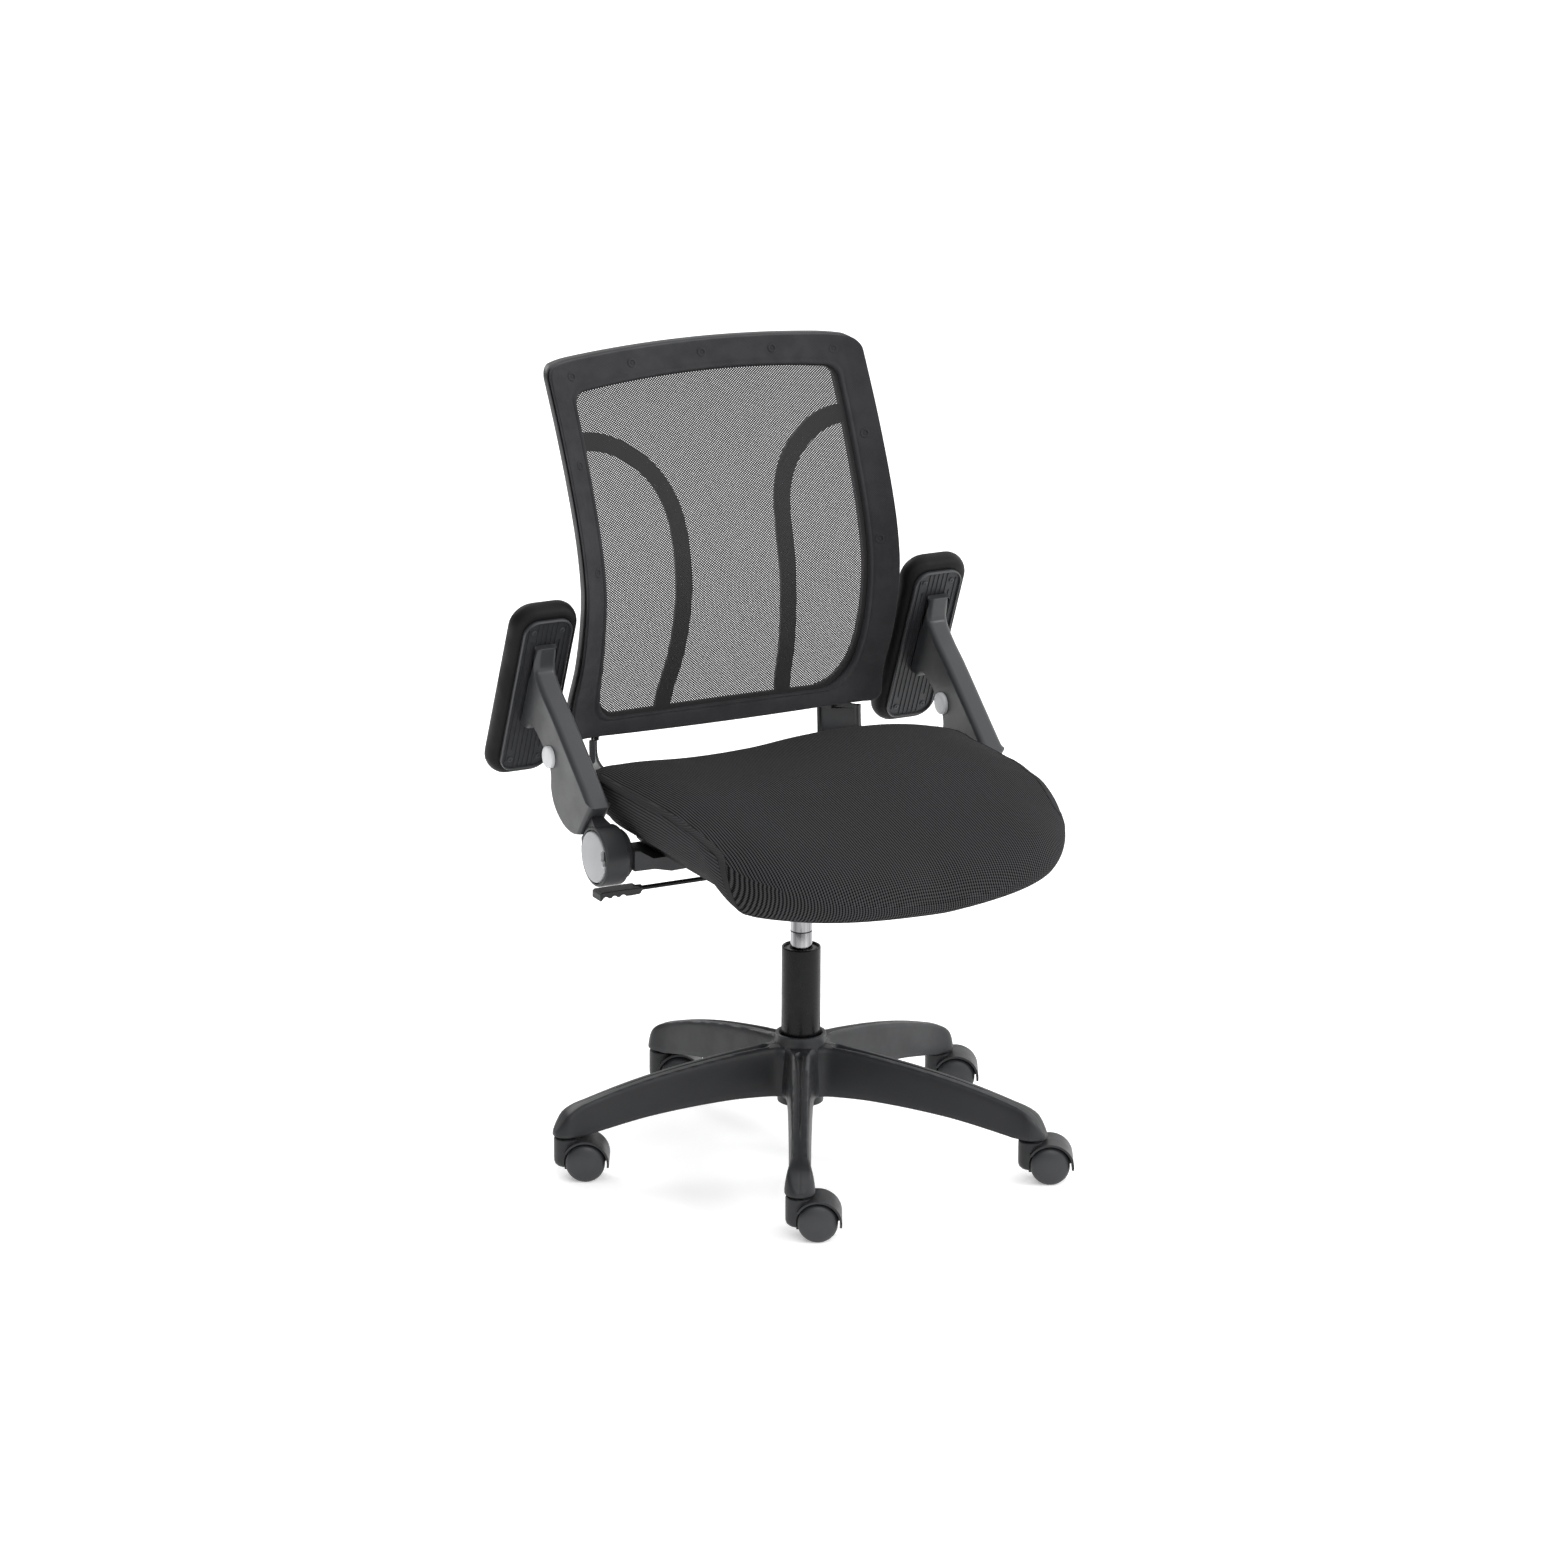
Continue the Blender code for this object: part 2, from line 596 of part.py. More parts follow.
def arched(outline, half_width, low, high, foot_arch, top_arch):
    """The outline with its top and foot edges arched upwards in the middle."""
    points = []
    for x, z in outline:
        lift = foot_arch + (top_arch - foot_arch) * min(max((z - low) / (high - low), 0), 1)
        points.append((x, z + lift * (1 - min(abs(x) / half_width, 1) ** 2)))
    return points


def back_outline(grow=0.0, side_steps=14):
    half = BACK_HALF_WIDTH + grow
    outline = round_rectangle(half, BACK_LOW_Z - grow, BACK_HIGH_Z + grow, BACK_CORNER + grow, side_steps)
    return arched(outline, BACK_HALF_WIDTH, BACK_LOW_Z, BACK_HIGH_Z, BACK_FOOT_ARCH, BACK_TOP_ARCH)


def window_outline(grow=0.0, side_steps=14):
    half = WINDOW_HALF_WIDTH + grow
    outline = round_rectangle(
        half, WINDOW_LOW_Z - grow, WINDOW_HIGH_Z + grow, WINDOW_TOP_CORNER + grow, side_steps,
        foot_radius=WINDOW_FOOT_CORNER + grow,
    )
    narrowed = [(x * (1 - 0.055 * max(1 - (z - WINDOW_LOW_Z) / 0.12, 0) ** 2), z) for x, z in outline]
    return arched(narrowed, WINDOW_HALF_WIDTH, WINDOW_LOW_Z, WINDOW_HIGH_Z, WINDOW_FOOT_ARCH,
                  WINDOW_TOP_ARCH)


def ring_body(outer, inner, section):
    """A closed band between two outlines, from a section of (share from inner to outer, depth)."""
    rings = []
    for (outer_x, outer_z), (inner_x, inner_z) in zip(outer, inner):
        ring = []
        for share, depth in section:
            x, z = inner_x + (outer_x - inner_x) * share, inner_z + (outer_z - inner_z) * share
            ring.append((x, back_y(x, z) + depth, z))
        rings.append(ring)
    return loft(rings, endless=True)


def mesh_frame_mesh():
    section = [(1.0, 0.0025), (0.94, 0.0), (0.5, -0.0012), (0.05, 0.0), (0.0, 0.0012), (0.0, 0.0026),
               (0.5, 0.0030), (1.0, 0.0080)]
    return ring_body(back_outline(), window_outline(), section)


def rib_mesh(side):
    """A curved rib from the shell's side band, near the top, down to its foot band."""
    path = [(0.196, 0.9035), (0.160, 0.8985), (0.127, 0.8830), (0.098, 0.8560), (0.0800, 0.8200),
            (0.0740, 0.7750), (0.0750, 0.7000), (0.0790, 0.6350), (0.0840, 0.5830), (0.0875, 0.5420)]
    rings = []
    points = smooth_path(path, 2)
    for i, (x, z) in enumerate(points):
        before, after = points[max(i - 1, 0)], points[min(i + 1, len(points) - 1)]
        ahead = Vector((after[0] - before[0], after[1] - before[1])).normalized()
        ring = []
        for wide, depth in ((-1, 0.0082), (1, 0.0082), (0.8, 0.0165), (-0.8, 0.0165)):
            px, pz = x - ahead.y * wide * RIB_HALF_WIDTH, z + ahead.x * wide * RIB_HALF_WIDTH
            ring.append((side * px, back_y(px, pz) + depth, pz))
        rings.append(ring)
    return loft(rings)


def back_shell_mesh():
    section = [(0.0, 0.0082), (0.5, 0.0096), (0.96, 0.0126), (1.0, 0.0150), (1.0, 0.0240), (0.92, 0.0270),
               (0.5, 0.0225), (0.0, 0.0170)]
    band = ring_body(back_outline(0.0005), window_outline(0.002), section)
    joins, cuts = [rib_mesh(1), rib_mesh(-1)], []
    for side in (-1, 1):
        joins.append(tongue_mesh(side, 0.0035, 0.5290, 0.5535))
        cuts.append(tongue_mesh(side, GAP, 0.5000, TONGUE_TOP_Z + GAP))
    return shaped(band, joins=joins, cuts=cuts)


def back_mesh_mesh():
    """The stretched mesh: one thin curved sheet, held between the front frame and the shell."""
    columns, rows = 10, 18
    vertices = []
    for depth in (0.0044, 0.0053):
        for j in range(rows + 1):
            for i in range(columns + 1):
                x, share = MESH_HALF_WIDTH * (2 * i / columns - 1), j / rows
                arch = WINDOW_FOOT_ARCH + (WINDOW_TOP_ARCH - WINDOW_FOOT_ARCH) * share
                z = MESH_LOW_Z + (MESH_HIGH_Z - MESH_LOW_Z) * share + arch * (1 - (x / MESH_HALF_WIDTH) ** 2)
                vertices.append((x, back_y(x, z) + depth, z))
    width, size = columns + 1, (columns + 1) * (rows + 1)
    faces = []
    for start in (0, size):
        for j in range(rows):
            for i in range(columns):
                a = start + j * width + i
                faces.append((a, a + 1, a + width + 1, a + width))
    border = [i for i in range(columns)] + [columns + j * width for j in range(rows)]
    border += [size - 1 - i for i in range(columns)] + [size - width - j * width for j in range(rows)]
    for a, b in zip(border, border[1:] + border[:1]):
        faces.append((a, b, b + size, a + size))
    return mesh_of(vertices, faces)


def tongue_mesh(side, grow, low, high):
    """The upright's narrow tongue, grown by a little for the socket round it and for the socket's hole."""
    half, thick = TONGUE_WIDTH / 2 + grow, UPRIGHT_THICKNESS / 2 + grow
    along, across = (math.cos(UPRIGHT_TURN), -math.sin(UPRIGHT_TURN)), (math.sin(UPRIGHT_TURN),
                                                                        math.cos(UPRIGHT_TURN))
    outline = []
    for a, b in ((-half, -thick), (half, -thick), (half, thick), (-half, thick)):
        x, y = (TONGUE_CENTRE[i] + a * along[i] + b * across[i] for i in (0, 1))
        outline.append((side * x, y))
    return prism(outline, low, high, along_z)


def upright_mesh(side):
    """A flat bar from under the seat board that turns edge-on as it rises behind the cushion."""
    turned = (math.cos(UPRIGHT_TURN), -math.sin(UPRIGHT_TURN), 0)
    path = smooth_path([(0.150, 0.047, 0.4305), (0.152, 0.110, 0.4305), (0.160, 0.165, 0.4370),
                        (0.170, 0.208, 0.4530), (0.1775, 0.2330, 0.4800), (0.1780, 0.2370, 0.5100)], 3)
    path.append((0.1780, 0.2370, 0.5205))
    rings = []
    for i, centre in enumerate(path):
        ahead = (Vector(path[min(i + 1, len(path) - 1)]) - Vector(path[max(i - 1, 0)])).normalized()
        turn = min(max((centre[2] - 0.431) / 0.055, 0), 1)
        wide = Vector((1, 0, 0)).lerp(Vector(turned), turn * turn * (3 - 2 * turn))
        wide = (wide - ahead * wide.dot(ahead)).normalized()
        thick = ahead.cross(wide)
        ring = []
        for a, b in ((-1, -0.5), (-0.95, -1), (0.95, -1), (1, -0.5), (1, 0.5), (0.95, 1), (-0.95, 1),
                     (-1, 0.5)):
            x, y, z = Vector(centre) + wide * a * UPRIGHT_WIDTH / 2 + thick * b * UPRIGHT_THICKNESS / 2
            ring.append((side * x, y, z))
        rings.append(ring)
    return shaped(loft(rings), joins=[tongue_mesh(side, 0, 0.5100, TONGUE_TOP_Z)])


# ---------------------------------------------------------------- arms

def arm_point(along, over, x):
    """A point of the raised arm: its distance along the post's slope, and over the slope."""
    y = ARM_PIVOT_Y + along * math.cos(ARM_SLOPE) - over * math.sin(ARM_SLOPE)
    z = ARM_PIVOT_Z + along * math.sin(ARM_SLOPE) + over * math.cos(ARM_SLOPE)
    return (x, y, z)


def pad_point(x, along, depth):
    """A point of the raised pad: its distance along the pad's lean, and behind it."""
    y = -along * math.sin(PAD_LEAN) + depth * math.cos(PAD_LEAN)
    z = along * math.cos(PAD_LEAN) + depth * math.sin(PAD_LEAN)
    return (x, y, z)


def in_arm_frame(along, depth):
    """A pad point's place along and over the post's slope."""
    _, y, z = pad_point(0, along, depth)
    y, z = y - ARM_PIVOT_Y, z - ARM_PIVOT_Z
    return (y * math.cos(ARM_SLOPE) + z * math.sin(ARM_SLOPE),
            z * math.cos(ARM_SLOPE) - y * math.sin(ARM_SLOPE))


def bracket_mesh(side):
    outline = [(0.100, 0.4210), (0.170, 0.4190), (0.205, 0.4180), (0.228, 0.4235), (0.2560, 0.4240),
               (0.2560, 0.4500), (0.2485, 0.4490), (0.230, 0.4375), (0.100, 0.4375)]
    bar = prism([(side * x, z) for x, z in outline], -0.042, 0.032, along_y)
    flange = [(0, 0.2535), (0.029, 0.2535), (0.031, 0.2555), (0.031, 0.2622), (PIN_RADIUS, 0.2622),
              (PIN_RADIUS, 0.2850), (0, 0.2850)]
    turned = lathe(flange, 20, lambda y, z, x: (side * x, y, z))
    return shaped(bar, joins=[moved(turned, (0, ARM_PIVOT_Y, ARM_PIVOT_Z))])


def hub_mesh(side):
    profile = [(0.0090, HUB_INNER_X), (HUB_RADIUS - 0.002, HUB_INNER_X), (HUB_RADIUS, HUB_INNER_X + 0.002),
               (HUB_RADIUS, HUB_OUTER_X - 0.0025), (HUB_RADIUS - 0.0025, HUB_OUTER_X), (0, HUB_OUTER_X),
               (0, 0.2858), (0.0090, 0.2858)]
    profile = profile[5:] + profile[:5] + [profile[5]]
    return moved(lathe(profile[1:], 24, lambda y, z, x: (side * x, y, z)), (0, ARM_PIVOT_Y, ARM_PIVOT_Z))


def arm_post_mesh(side):
    def place(along, over, x):
        return arm_point(along, over, side * (ARM_X + x))

    neck = [[place(along, over, x) for over, x in ((-w, -t), (w, -t), (w, t), (-w, t))]
            for along, w, t in ((0.028, 0.027, 0.0110), (0.0435, 0.0225, 0.0080))]
    tongue = [(0.032, -0.020), (0.140, -0.020), (0.140, 0.020), (0.032, 0.020)]
    return shaped(hub_mesh(side), joins=[loft(neck), prism(tongue, -0.005, 0.005, place)])


def hub_cap_mesh(side):
    start = HUB_OUTER_X + GAP
    profile = [(0, start), (0.0335, start), (0.0335, start + 0.0014), (0.0322, start + 0.0026),
               (0, start + 0.0032)]
    return moved(lathe(profile, 24, lambda y, z, x: (side * x, y, z)), (0, ARM_PIVOT_Y, ARM_PIVOT_Z))


def sleeve_outline():
    under = PAD_UNDERSIDE - GAP - PLATE_THICKNESS - GAP
    rear = [(0.0440, -0.0160), (0.0540, -0.0290), (0.0720, -0.0410), (0.0920, -0.0465), (0.1120, -0.0460),
            (0.1300, -0.0375), (0.1420, -0.0240), (0.1580, -0.0165), (0.1800, -0.0158), (0.2000, -0.0180)]
    foot = [in_arm_frame(0.4570, 0.3700), in_arm_frame(0.4440, 0.3820), in_arm_frame(FOOT_LOW, under),
            in_arm_frame(FOOT_HIGH, under), in_arm_frame(FOOT_HIGH, under - 0.009)]
    front = [(0.2560, 0.0450), (0.2440, 0.0390), (0.2200, 0.0395), (0.1900, 0.0410), (0.0440, 0.0412)]
    return rear + foot + front


def sleeve_mesh(side):
    def place(along, over, x):
        return arm_point(along, over, side * (ARM_X + x))

    blade = prism(sleeve_outline(), -SLEEVE_HALF_WIDTH, SLEEVE_HALF_WIDTH, place)
    cavity = [(0.030, -0.0206), (0.1425, -0.0206), (0.1425, 0.0206), (0.030, 0.0206)]
    notch = arc((BUTTON_ALONG, BUTTON_ACROSS), BUTTON_RADIUS + 0.0005, 0, 345, 24)
    cuts = [prism(cavity, -0.0056, 0.0056, place), prism(notch, -0.02, 0.02, place)]
    return shaped(blade, cuts=cuts, bevel=0.0035, bevel_angle=45)


def button_mesh(side):
    """A round cross button at the sleeve's rear edge, which passes right through the sleeve."""
    rim = arc((BUTTON_ALONG, BUTTON_ACROSS), BUTTON_RADIUS, 0, 345, 24)
    return prism(rim, -0.0200, 0.0200, lambda along, over, x: arm_point(along, over, side * (ARM_X + x)))


def pad_plate_mesh(side):
    low = PAD_UNDERSIDE - GAP - PLATE_THICKNESS
    outline = round_rectangle(0.032, PAD_CENTRE - 0.114, PAD_CENTRE + 0.114, 0.018)
    return prism(outline, low, low + PLATE_THICKNESS, lambda x, along,
                 depth: pad_point(side * (PAD_X + x), along, depth))


def pad_mesh(side):
    """The soft pad: a long rounded slab, narrower at both faces than in the middle."""
    rings = []
    for share, inset in ((0.0, 0.007), (0.2, 0.0015), (0.6, 0.0), (0.88, 0.004), (1.0, 0.014)):
        outline = round_rectangle(
            PAD_WIDTH / 2 - inset, PAD_CENTRE - PAD_LENGTH / 2 + inset, PAD_CENTRE + PAD_LENGTH / 2 - inset,
            0.028 - inset, corner_steps=5,
        )
        depth = PAD_UNDERSIDE + PAD_THICKNESS * share
        rings.append([pad_point(side * (PAD_X + x), along, depth) for x, along in outline])
    return loft(rings)


# ---------------------------------------------------------------- assembly

def build_base(finish):
    root = joint("chair", (0, 0, 0))
    add_part("star_base", star_base_mesh(), finish["nylon"], root)
    add_part("lift_outer_tube", outer_tube_mesh(), finish["black_steel"], root)
    add_part("lift_guide_bush", ring_mesh(0.0145, TUBE_BORE - GAP, 0.240, 0.2781, 20), finish["bush"], root)
    hood, axle = hood_mesh(), axle_mesh()
    for i in range(LEG_COUNT):
        number = i + 1
        add_part(f"caster_stem_{number}", stem_mesh(i), finish["zinc"], root)
        swivel = joint(f"caster_swivel_{number}", stem_place(i), root, STAR_TURN)
        add_part(f"caster_hood_{number}", hood.copy(), finish["nylon"], swivel, local=True)
        add_part(f"caster_axle_{number}", axle.copy(), finish["zinc"], swivel, local=True)
        for letter, side in (("a", -1), ("b", 1)):
            add_part(f"caster_wheel_{number}{letter}", wheel_mesh(side), finish["wheel"], swivel,
                     local=True)
    return root


def build_mechanism(finish, root):
    piston = joint("seat_swivel", (0, 0, 0.080), root)
    foot = TUBE_FOOT_Z + 0.004 + GAP
    add_part("piston_rod", lathe([(0, foot), (PISTON_RADIUS, foot), (PISTON_RADIUS, 0.270), (0, 0.270)],
                                 12), finish["chrome"], piston)
    add_part("thrust_bearing", ring_mesh(PISTON_RADIUS + 0.0004, 0.0150, foot, foot + 0.006, 20),
             finish["zinc"], piston)
    lift = joint("seat_lift", (0, 0, TUBE_TOP_Z), piston)
    add_part("gas_cylinder", gas_cylinder_mesh(), finish["chrome"], lift)
    add_part("mechanism_housing", housing_mesh(), finish["black_steel"], lift)
    add_part("tilt_axle", across(AXLE_RADIUS, 0.0565, TILT_Y, TILT_Z), finish["zinc"], lift)
    lever = joint("lever_pivot", (LEVER_PIVOT_X, LEVER_Y, LEVER_Z), lift)
    add_part("lever_rod", lever_rod_mesh(), finish["black_steel"], lever)
    add_part("lever_handle", lever_handle_mesh(), finish["nylon"], lever)
    valve = joint("release_valve", (0, 0, CYLINDER_TOP_Z), lift)
    add_part("release_button", lathe([(0, 0.4012), (0.0039, 0.4012), (0.0039, 0.4116), (0, 0.4116)], 12),
             finish["zinc"], valve)
    knob = joint("tension_screw", (0, KNOB_Y, 0.355), lift)
    add_part("tension_knob", tension_knob_mesh(), finish["nylon"], knob)
    return joint("seat_tilt", (0, TILT_Y, TILT_Z), lift)


def build_seat(finish, seat):
    add_part("seat_plate", seat_plate_mesh(), finish["black_steel"], seat)
    add_part("seat_board", board_mesh(), finish["plywood"], seat)
    add_part("seat_cushion", loft(cushion_rings(36)), finish["seat_fabric"], seat)
    add_part("mesh_frame", mesh_frame_mesh(), finish["frame_fabric"], seat)
    add_part("back_shell", back_shell_mesh(), finish["back_plastic"], seat)
    add_part("back_mesh", back_mesh_mesh(), finish["mesh"], seat)
    for name, side in (("left", 1), ("right", -1)):
        add_part(f"upright_{name}", upright_mesh(side), finish["back_plastic"], seat)
        add_part(f"arm_bracket_{name}", bracket_mesh(side), finish["nylon"], seat)


def build_arm(finish, seat, name, side):
    flip = joint(f"arm_flip_{name}", (side * ARM_X, ARM_PIVOT_Y, ARM_PIVOT_Z), seat)
    add_part(f"arm_post_{name}", arm_post_mesh(side), finish["nylon"], flip)
    add_part(f"hub_cap_{name}", hub_cap_mesh(side), finish["silver"], flip)
    slide = joint(f"arm_height_{name}", arm_point(0.044, 0, side * ARM_X), flip)
    add_part(f"arm_sleeve_{name}", sleeve_mesh(side), finish["arm_plastic"], slide)
    add_part(f"pad_plate_{name}", pad_plate_mesh(side), finish["nylon"], slide)
    add_part(f"arm_pad_{name}", pad_mesh(side), finish["pad"], slide)
    press = joint(f"button_press_{name}", arm_point(BUTTON_ALONG, BUTTON_ACROSS, side * ARM_X), slide)
    add_part(f"height_button_{name}", button_mesh(side), finish["silver"], press)


def finishes():
    return {
        "nylon": material("nylon", (0.045, 0.046, 0.048), 0.55),
        "wheel": material("wheel", (0.050, 0.051, 0.053), 0.60),
        "black_steel": material("black_steel", (0.018, 0.018, 0.019), 0.38, 0.4),
        "bush": material("bush", (0.35, 0.35, 0.34), 0.50),
        "zinc": material("zinc", (0.42, 0.42, 0.43), 0.35, 1.0),
        "chrome": material("chrome", (0.78, 0.79, 0.80), 0.10, 1.0),
        "plywood": material("plywood", (0.020, 0.020, 0.021), 0.80),
        "seat_fabric": material("seat_fabric", (0.020, 0.020, 0.022), 0.92),
        "frame_fabric": material("frame_fabric", (0.022, 0.022, 0.024), 0.85),
        "back_plastic": material("back_plastic", (0.030, 0.031, 0.033), 0.50),
        "mesh": material("mesh", (0.10, 0.10, 0.105), 0.85),
        "arm_plastic": material("arm_plastic", (0.095, 0.097, 0.100), 0.45),
        "silver": material("silver", (0.42, 0.43, 0.44), 0.35, 0.6),
        "pad": material("pad", (0.022, 0.022, 0.023), 0.62),
    }


def main():
    clear_scene()
    finish = finishes()
    root = build_base(finish)
    seat = build_mechanism(finish, root)
    build_seat(finish, seat)
    for name, side in (("left", 1), ("right", -1)):
        build_arm(finish, seat, name, side)


CHAIR = Matrix.Translation((COLUMN_X, COLUMN_Y, 0))
PLACES = {}
main()
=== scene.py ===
"""Swivel office chair: fine visual pieces, materials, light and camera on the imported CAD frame."""

import math

import bmesh
import bpy
import numpy as np
from mathutils import Matrix, Vector
from mathutils.bvhtree import BVHTree


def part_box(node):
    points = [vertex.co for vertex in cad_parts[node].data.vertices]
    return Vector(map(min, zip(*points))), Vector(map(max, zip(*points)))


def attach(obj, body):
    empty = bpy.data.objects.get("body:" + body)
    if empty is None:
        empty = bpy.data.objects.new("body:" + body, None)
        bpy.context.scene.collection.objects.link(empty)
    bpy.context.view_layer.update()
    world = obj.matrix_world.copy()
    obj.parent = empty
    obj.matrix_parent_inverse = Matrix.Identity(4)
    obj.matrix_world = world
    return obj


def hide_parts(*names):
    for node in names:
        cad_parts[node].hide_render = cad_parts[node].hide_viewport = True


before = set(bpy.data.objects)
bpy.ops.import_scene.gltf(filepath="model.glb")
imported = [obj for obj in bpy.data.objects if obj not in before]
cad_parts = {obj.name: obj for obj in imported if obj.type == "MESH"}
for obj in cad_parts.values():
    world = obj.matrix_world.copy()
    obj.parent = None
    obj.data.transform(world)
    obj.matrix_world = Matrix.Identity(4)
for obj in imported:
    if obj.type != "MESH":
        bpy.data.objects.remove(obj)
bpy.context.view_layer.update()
COLUMN = (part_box("lift_outer_tube")[0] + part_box("lift_outer_tube")[1]) / 2
CHAIR = Matrix.Translation((COLUMN.x, COLUMN.y, 0))
SIDES = (("left", 1), ("right", -1))
GAP = 0.0003  # the clear space left between pieces that would otherwise share a face
WEAVE_CROSS = 0.0028  # the pitch of the seat cover's courses


# ---------------------------------------------------------------- curves

def clamped(value):
    """The value, held between 0 and 1."""
    return min(max(value, 0), 1)


def heading(points, i):
    """The direction of a path of points in space at its point i, from the point before to the one after."""
    return Vector(points[min(i + 1, len(points) - 1)]) - Vector(points[max(i - 1, 0)])


def smooth_value(knots, x):
    """The value at x of a smooth curve through the (x, value) knots, which are in rising x."""
    x = min(max(x, knots[0][0]), knots[-1][0])
    spot = max(i for i in range(len(knots) - 1) if knots[i][0] <= x)
    slopes = []
    for i in (spot, spot + 1):
        before, after = knots[max(i - 1, 0)], knots[min(i + 1, len(knots) - 1)]
        slopes.append((after[1] - before[1]) / (after[0] - before[0]))
    (x0, y0), (x1, y1) = knots[spot], knots[spot + 1]
    width = x1 - x0
    t = (x - x0) / width
    rise = (y1 - y0) * (3 - 2 * t) * t * t
    return y0 + rise + width * t * (1 - t) * (slopes[0] * (1 - t) - slopes[1] * t)


def smooth_path(points, steps):
    """Points along a smooth curve through the given ones, with this many steps between each pair."""
    count = len(points)
    axes = [[(i, point[axis]) for i, point in enumerate(points)] for axis in range(len(points[0]))]
    spots = [i / steps for i in range((count - 1) * steps + 1)]
    return [tuple(smooth_value(knots, spot) for knots in axes) for spot in spots]


def straight_path(points, steps):
    """Points along straight runs through the given ones."""
    path = []
    for a, b in zip(points, points[1:]):
        path += [tuple(p + (q - p) * i / steps for p, q in zip(a, b)) for i in range(steps)]
    return path + [points[-1]]


def arc(centre, radius, start, end, count):
    """Points on a circle's arc, from one angle to another in degrees."""
    angles = [math.radians(start + (end - start) * i / (count - 1)) for i in range(count)]
    return [(centre[0] + radius * math.cos(a), centre[1] + radius * math.sin(a)) for a in angles]


def round_rectangle(half_width, low, high, radius, side_steps=1, corner_steps=3, foot_radius=None):
    """A closed outline of (x, z) points with round corners, anticlockwise from the right side's head."""
    corners = [(half_width, high, 0), (-half_width, high, 90), (-half_width, low, 180),
               (half_width, low, 270)]
    outline = []
    for x, z, angle in corners:
        if angle == 180 and foot_radius:
            radius = foot_radius
        centre = (x - math.copysign(radius, x), z - (radius if angle < 180 else -radius))
        outline.append(arc(centre, radius, angle, angle + 90, corner_steps + 1))
    points = []
    for i, corner in enumerate(outline):
        after = outline[(i + 1) % 4][0]
        points += corner
        for step in range(1, side_steps):
            share = step / side_steps
            points.append(tuple(a + (b - a) * share for a, b in zip(corner[-1], after)))
    return points


def inset(outline, amounts):
    """A closed outline moved inwards, each point by its own amount."""
    count = len(outline)
    area = sum(outline[i - 1][0] * outline[i][1] - outline[i][0] * outline[i - 1][1] for i in range(count))
    turn = 1 if area > 0 else -1
    moved_points = []
    for i, (x, y) in enumerate(outline):
        ahead = Vector(outline[(i + 1) % count]) - Vector(outline[i - 1])
        ahead.normalize()
        moved_points.append((x - turn * ahead.y * amounts[i], y + turn * ahead.x * amounts[i]))
    return moved_points


# ---------------------------------------------------------------- meshes

def mesh_of(vertices, faces):
    """A mesh with its faces turned outwards."""
    shape = bmesh.new()
    corners = [shape.verts.new(vertex) for vertex in vertices]
    for face in faces:
        shape.faces.new([corners[i] for i in face])
    bmesh.ops.recalc_face_normals(shape, faces=shape.faces)
    mesh = bpy.data.meshes.new("shape")
    shape.to_mesh(mesh)
    shape.free()
    return mesh


def merged(meshes):
    """Several meshes as one, without joining their surfaces."""
    shape = bmesh.new()
    for mesh in meshes:
        shape.from_mesh(mesh)
    mesh = bpy.data.meshes.new("shape")
    shape.to_mesh(mesh)
    shape.free()
    return mesh


def loft(rings, endless=False):
    """A skin over rings of equal count: capped at both ends, or joined end to end when endless."""
    size = len(rings[0])
    vertices = [point for ring in rings for point in ring]
    faces = []
    for i in range(len(rings) if endless else len(rings) - 1):
        low, high = i * size, (i + 1) % len(rings) * size
        for j in range(size):
            k = (j + 1) % size
            faces.append((low + j, low + k, high + k, high + j))
    if not endless:
        faces += [tuple(range(size)), tuple(range(len(vertices) - size, len(vertices)))]
    return mesh_of(vertices, faces)


def prism(outline, low, high, place):
    """A flat outline carried from one level to another. place(a, b, level) gives the point in space."""
    return loft([[place(a, b, level) for a, b in outline] for level in (low, high)])


def along_x(y, z, x):
    return (x, y, z)


def along_y(x, z, y):
    return (x, y, z)


def along_z(x, y, z):
    return (x, y, z)


def lathe(profile, sides=64, place=along_z, flutes=0, depth=0.0):
    """A turned solid from (radius, height) points: from axis to axis, or a closed loop round a bore.
    flutes presses that many shallow scallops into it, to a share of its radius."""
    vertices, rows = [], []
    for radius, height in profile:
        rows.append([len(vertices) + i for i in range(sides)] if radius else [len(vertices)] * sides)
        for i in range(sides if radius else 1):
            angle = 2 * math.pi * i / sides
            reach = radius * (1 - depth * max(math.cos(flutes * angle), 0)) if flutes else radius
            vertices.append(place(reach * math.cos(angle), reach * math.sin(angle), height))
    pairs = list(zip(rows, rows[1:]))
    if profile[0][0]:
        pairs.append((rows[-1], rows[0]))
    faces = []
    for low, high in pairs:
        for i in range(sides):
            j = (i + 1) % sides
            faces.append(tuple(dict.fromkeys((low[i], low[j], high[j], high[i]))))
    return mesh_of(vertices, faces)


def box(low, high):
    outline = [(low[0], low[1]), (high[0], low[1]), (high[0], high[1]), (low[0], high[1])]
    return prism(outline, low[2], high[2], along_z)


def moved(mesh, offset):
    mesh.transform(Matrix.Translation(offset))
    return mesh


def tube(points, radius):
    """A round rod along a path that runs mostly along X, bending in any direction."""
    sides = 16
    angles = [2 * math.pi * j / sides for j in range(sides)]
    rings = []
    for i, point in enumerate(points):
        turn = heading(points, i).to_track_quat("Z", "Y")
        ring = [turn @ Vector((radius * math.cos(a), radius * math.sin(a), 0)) for a in angles]
        rings.append([tuple(Vector(point) + offset) for offset in ring])
    return loft(rings)


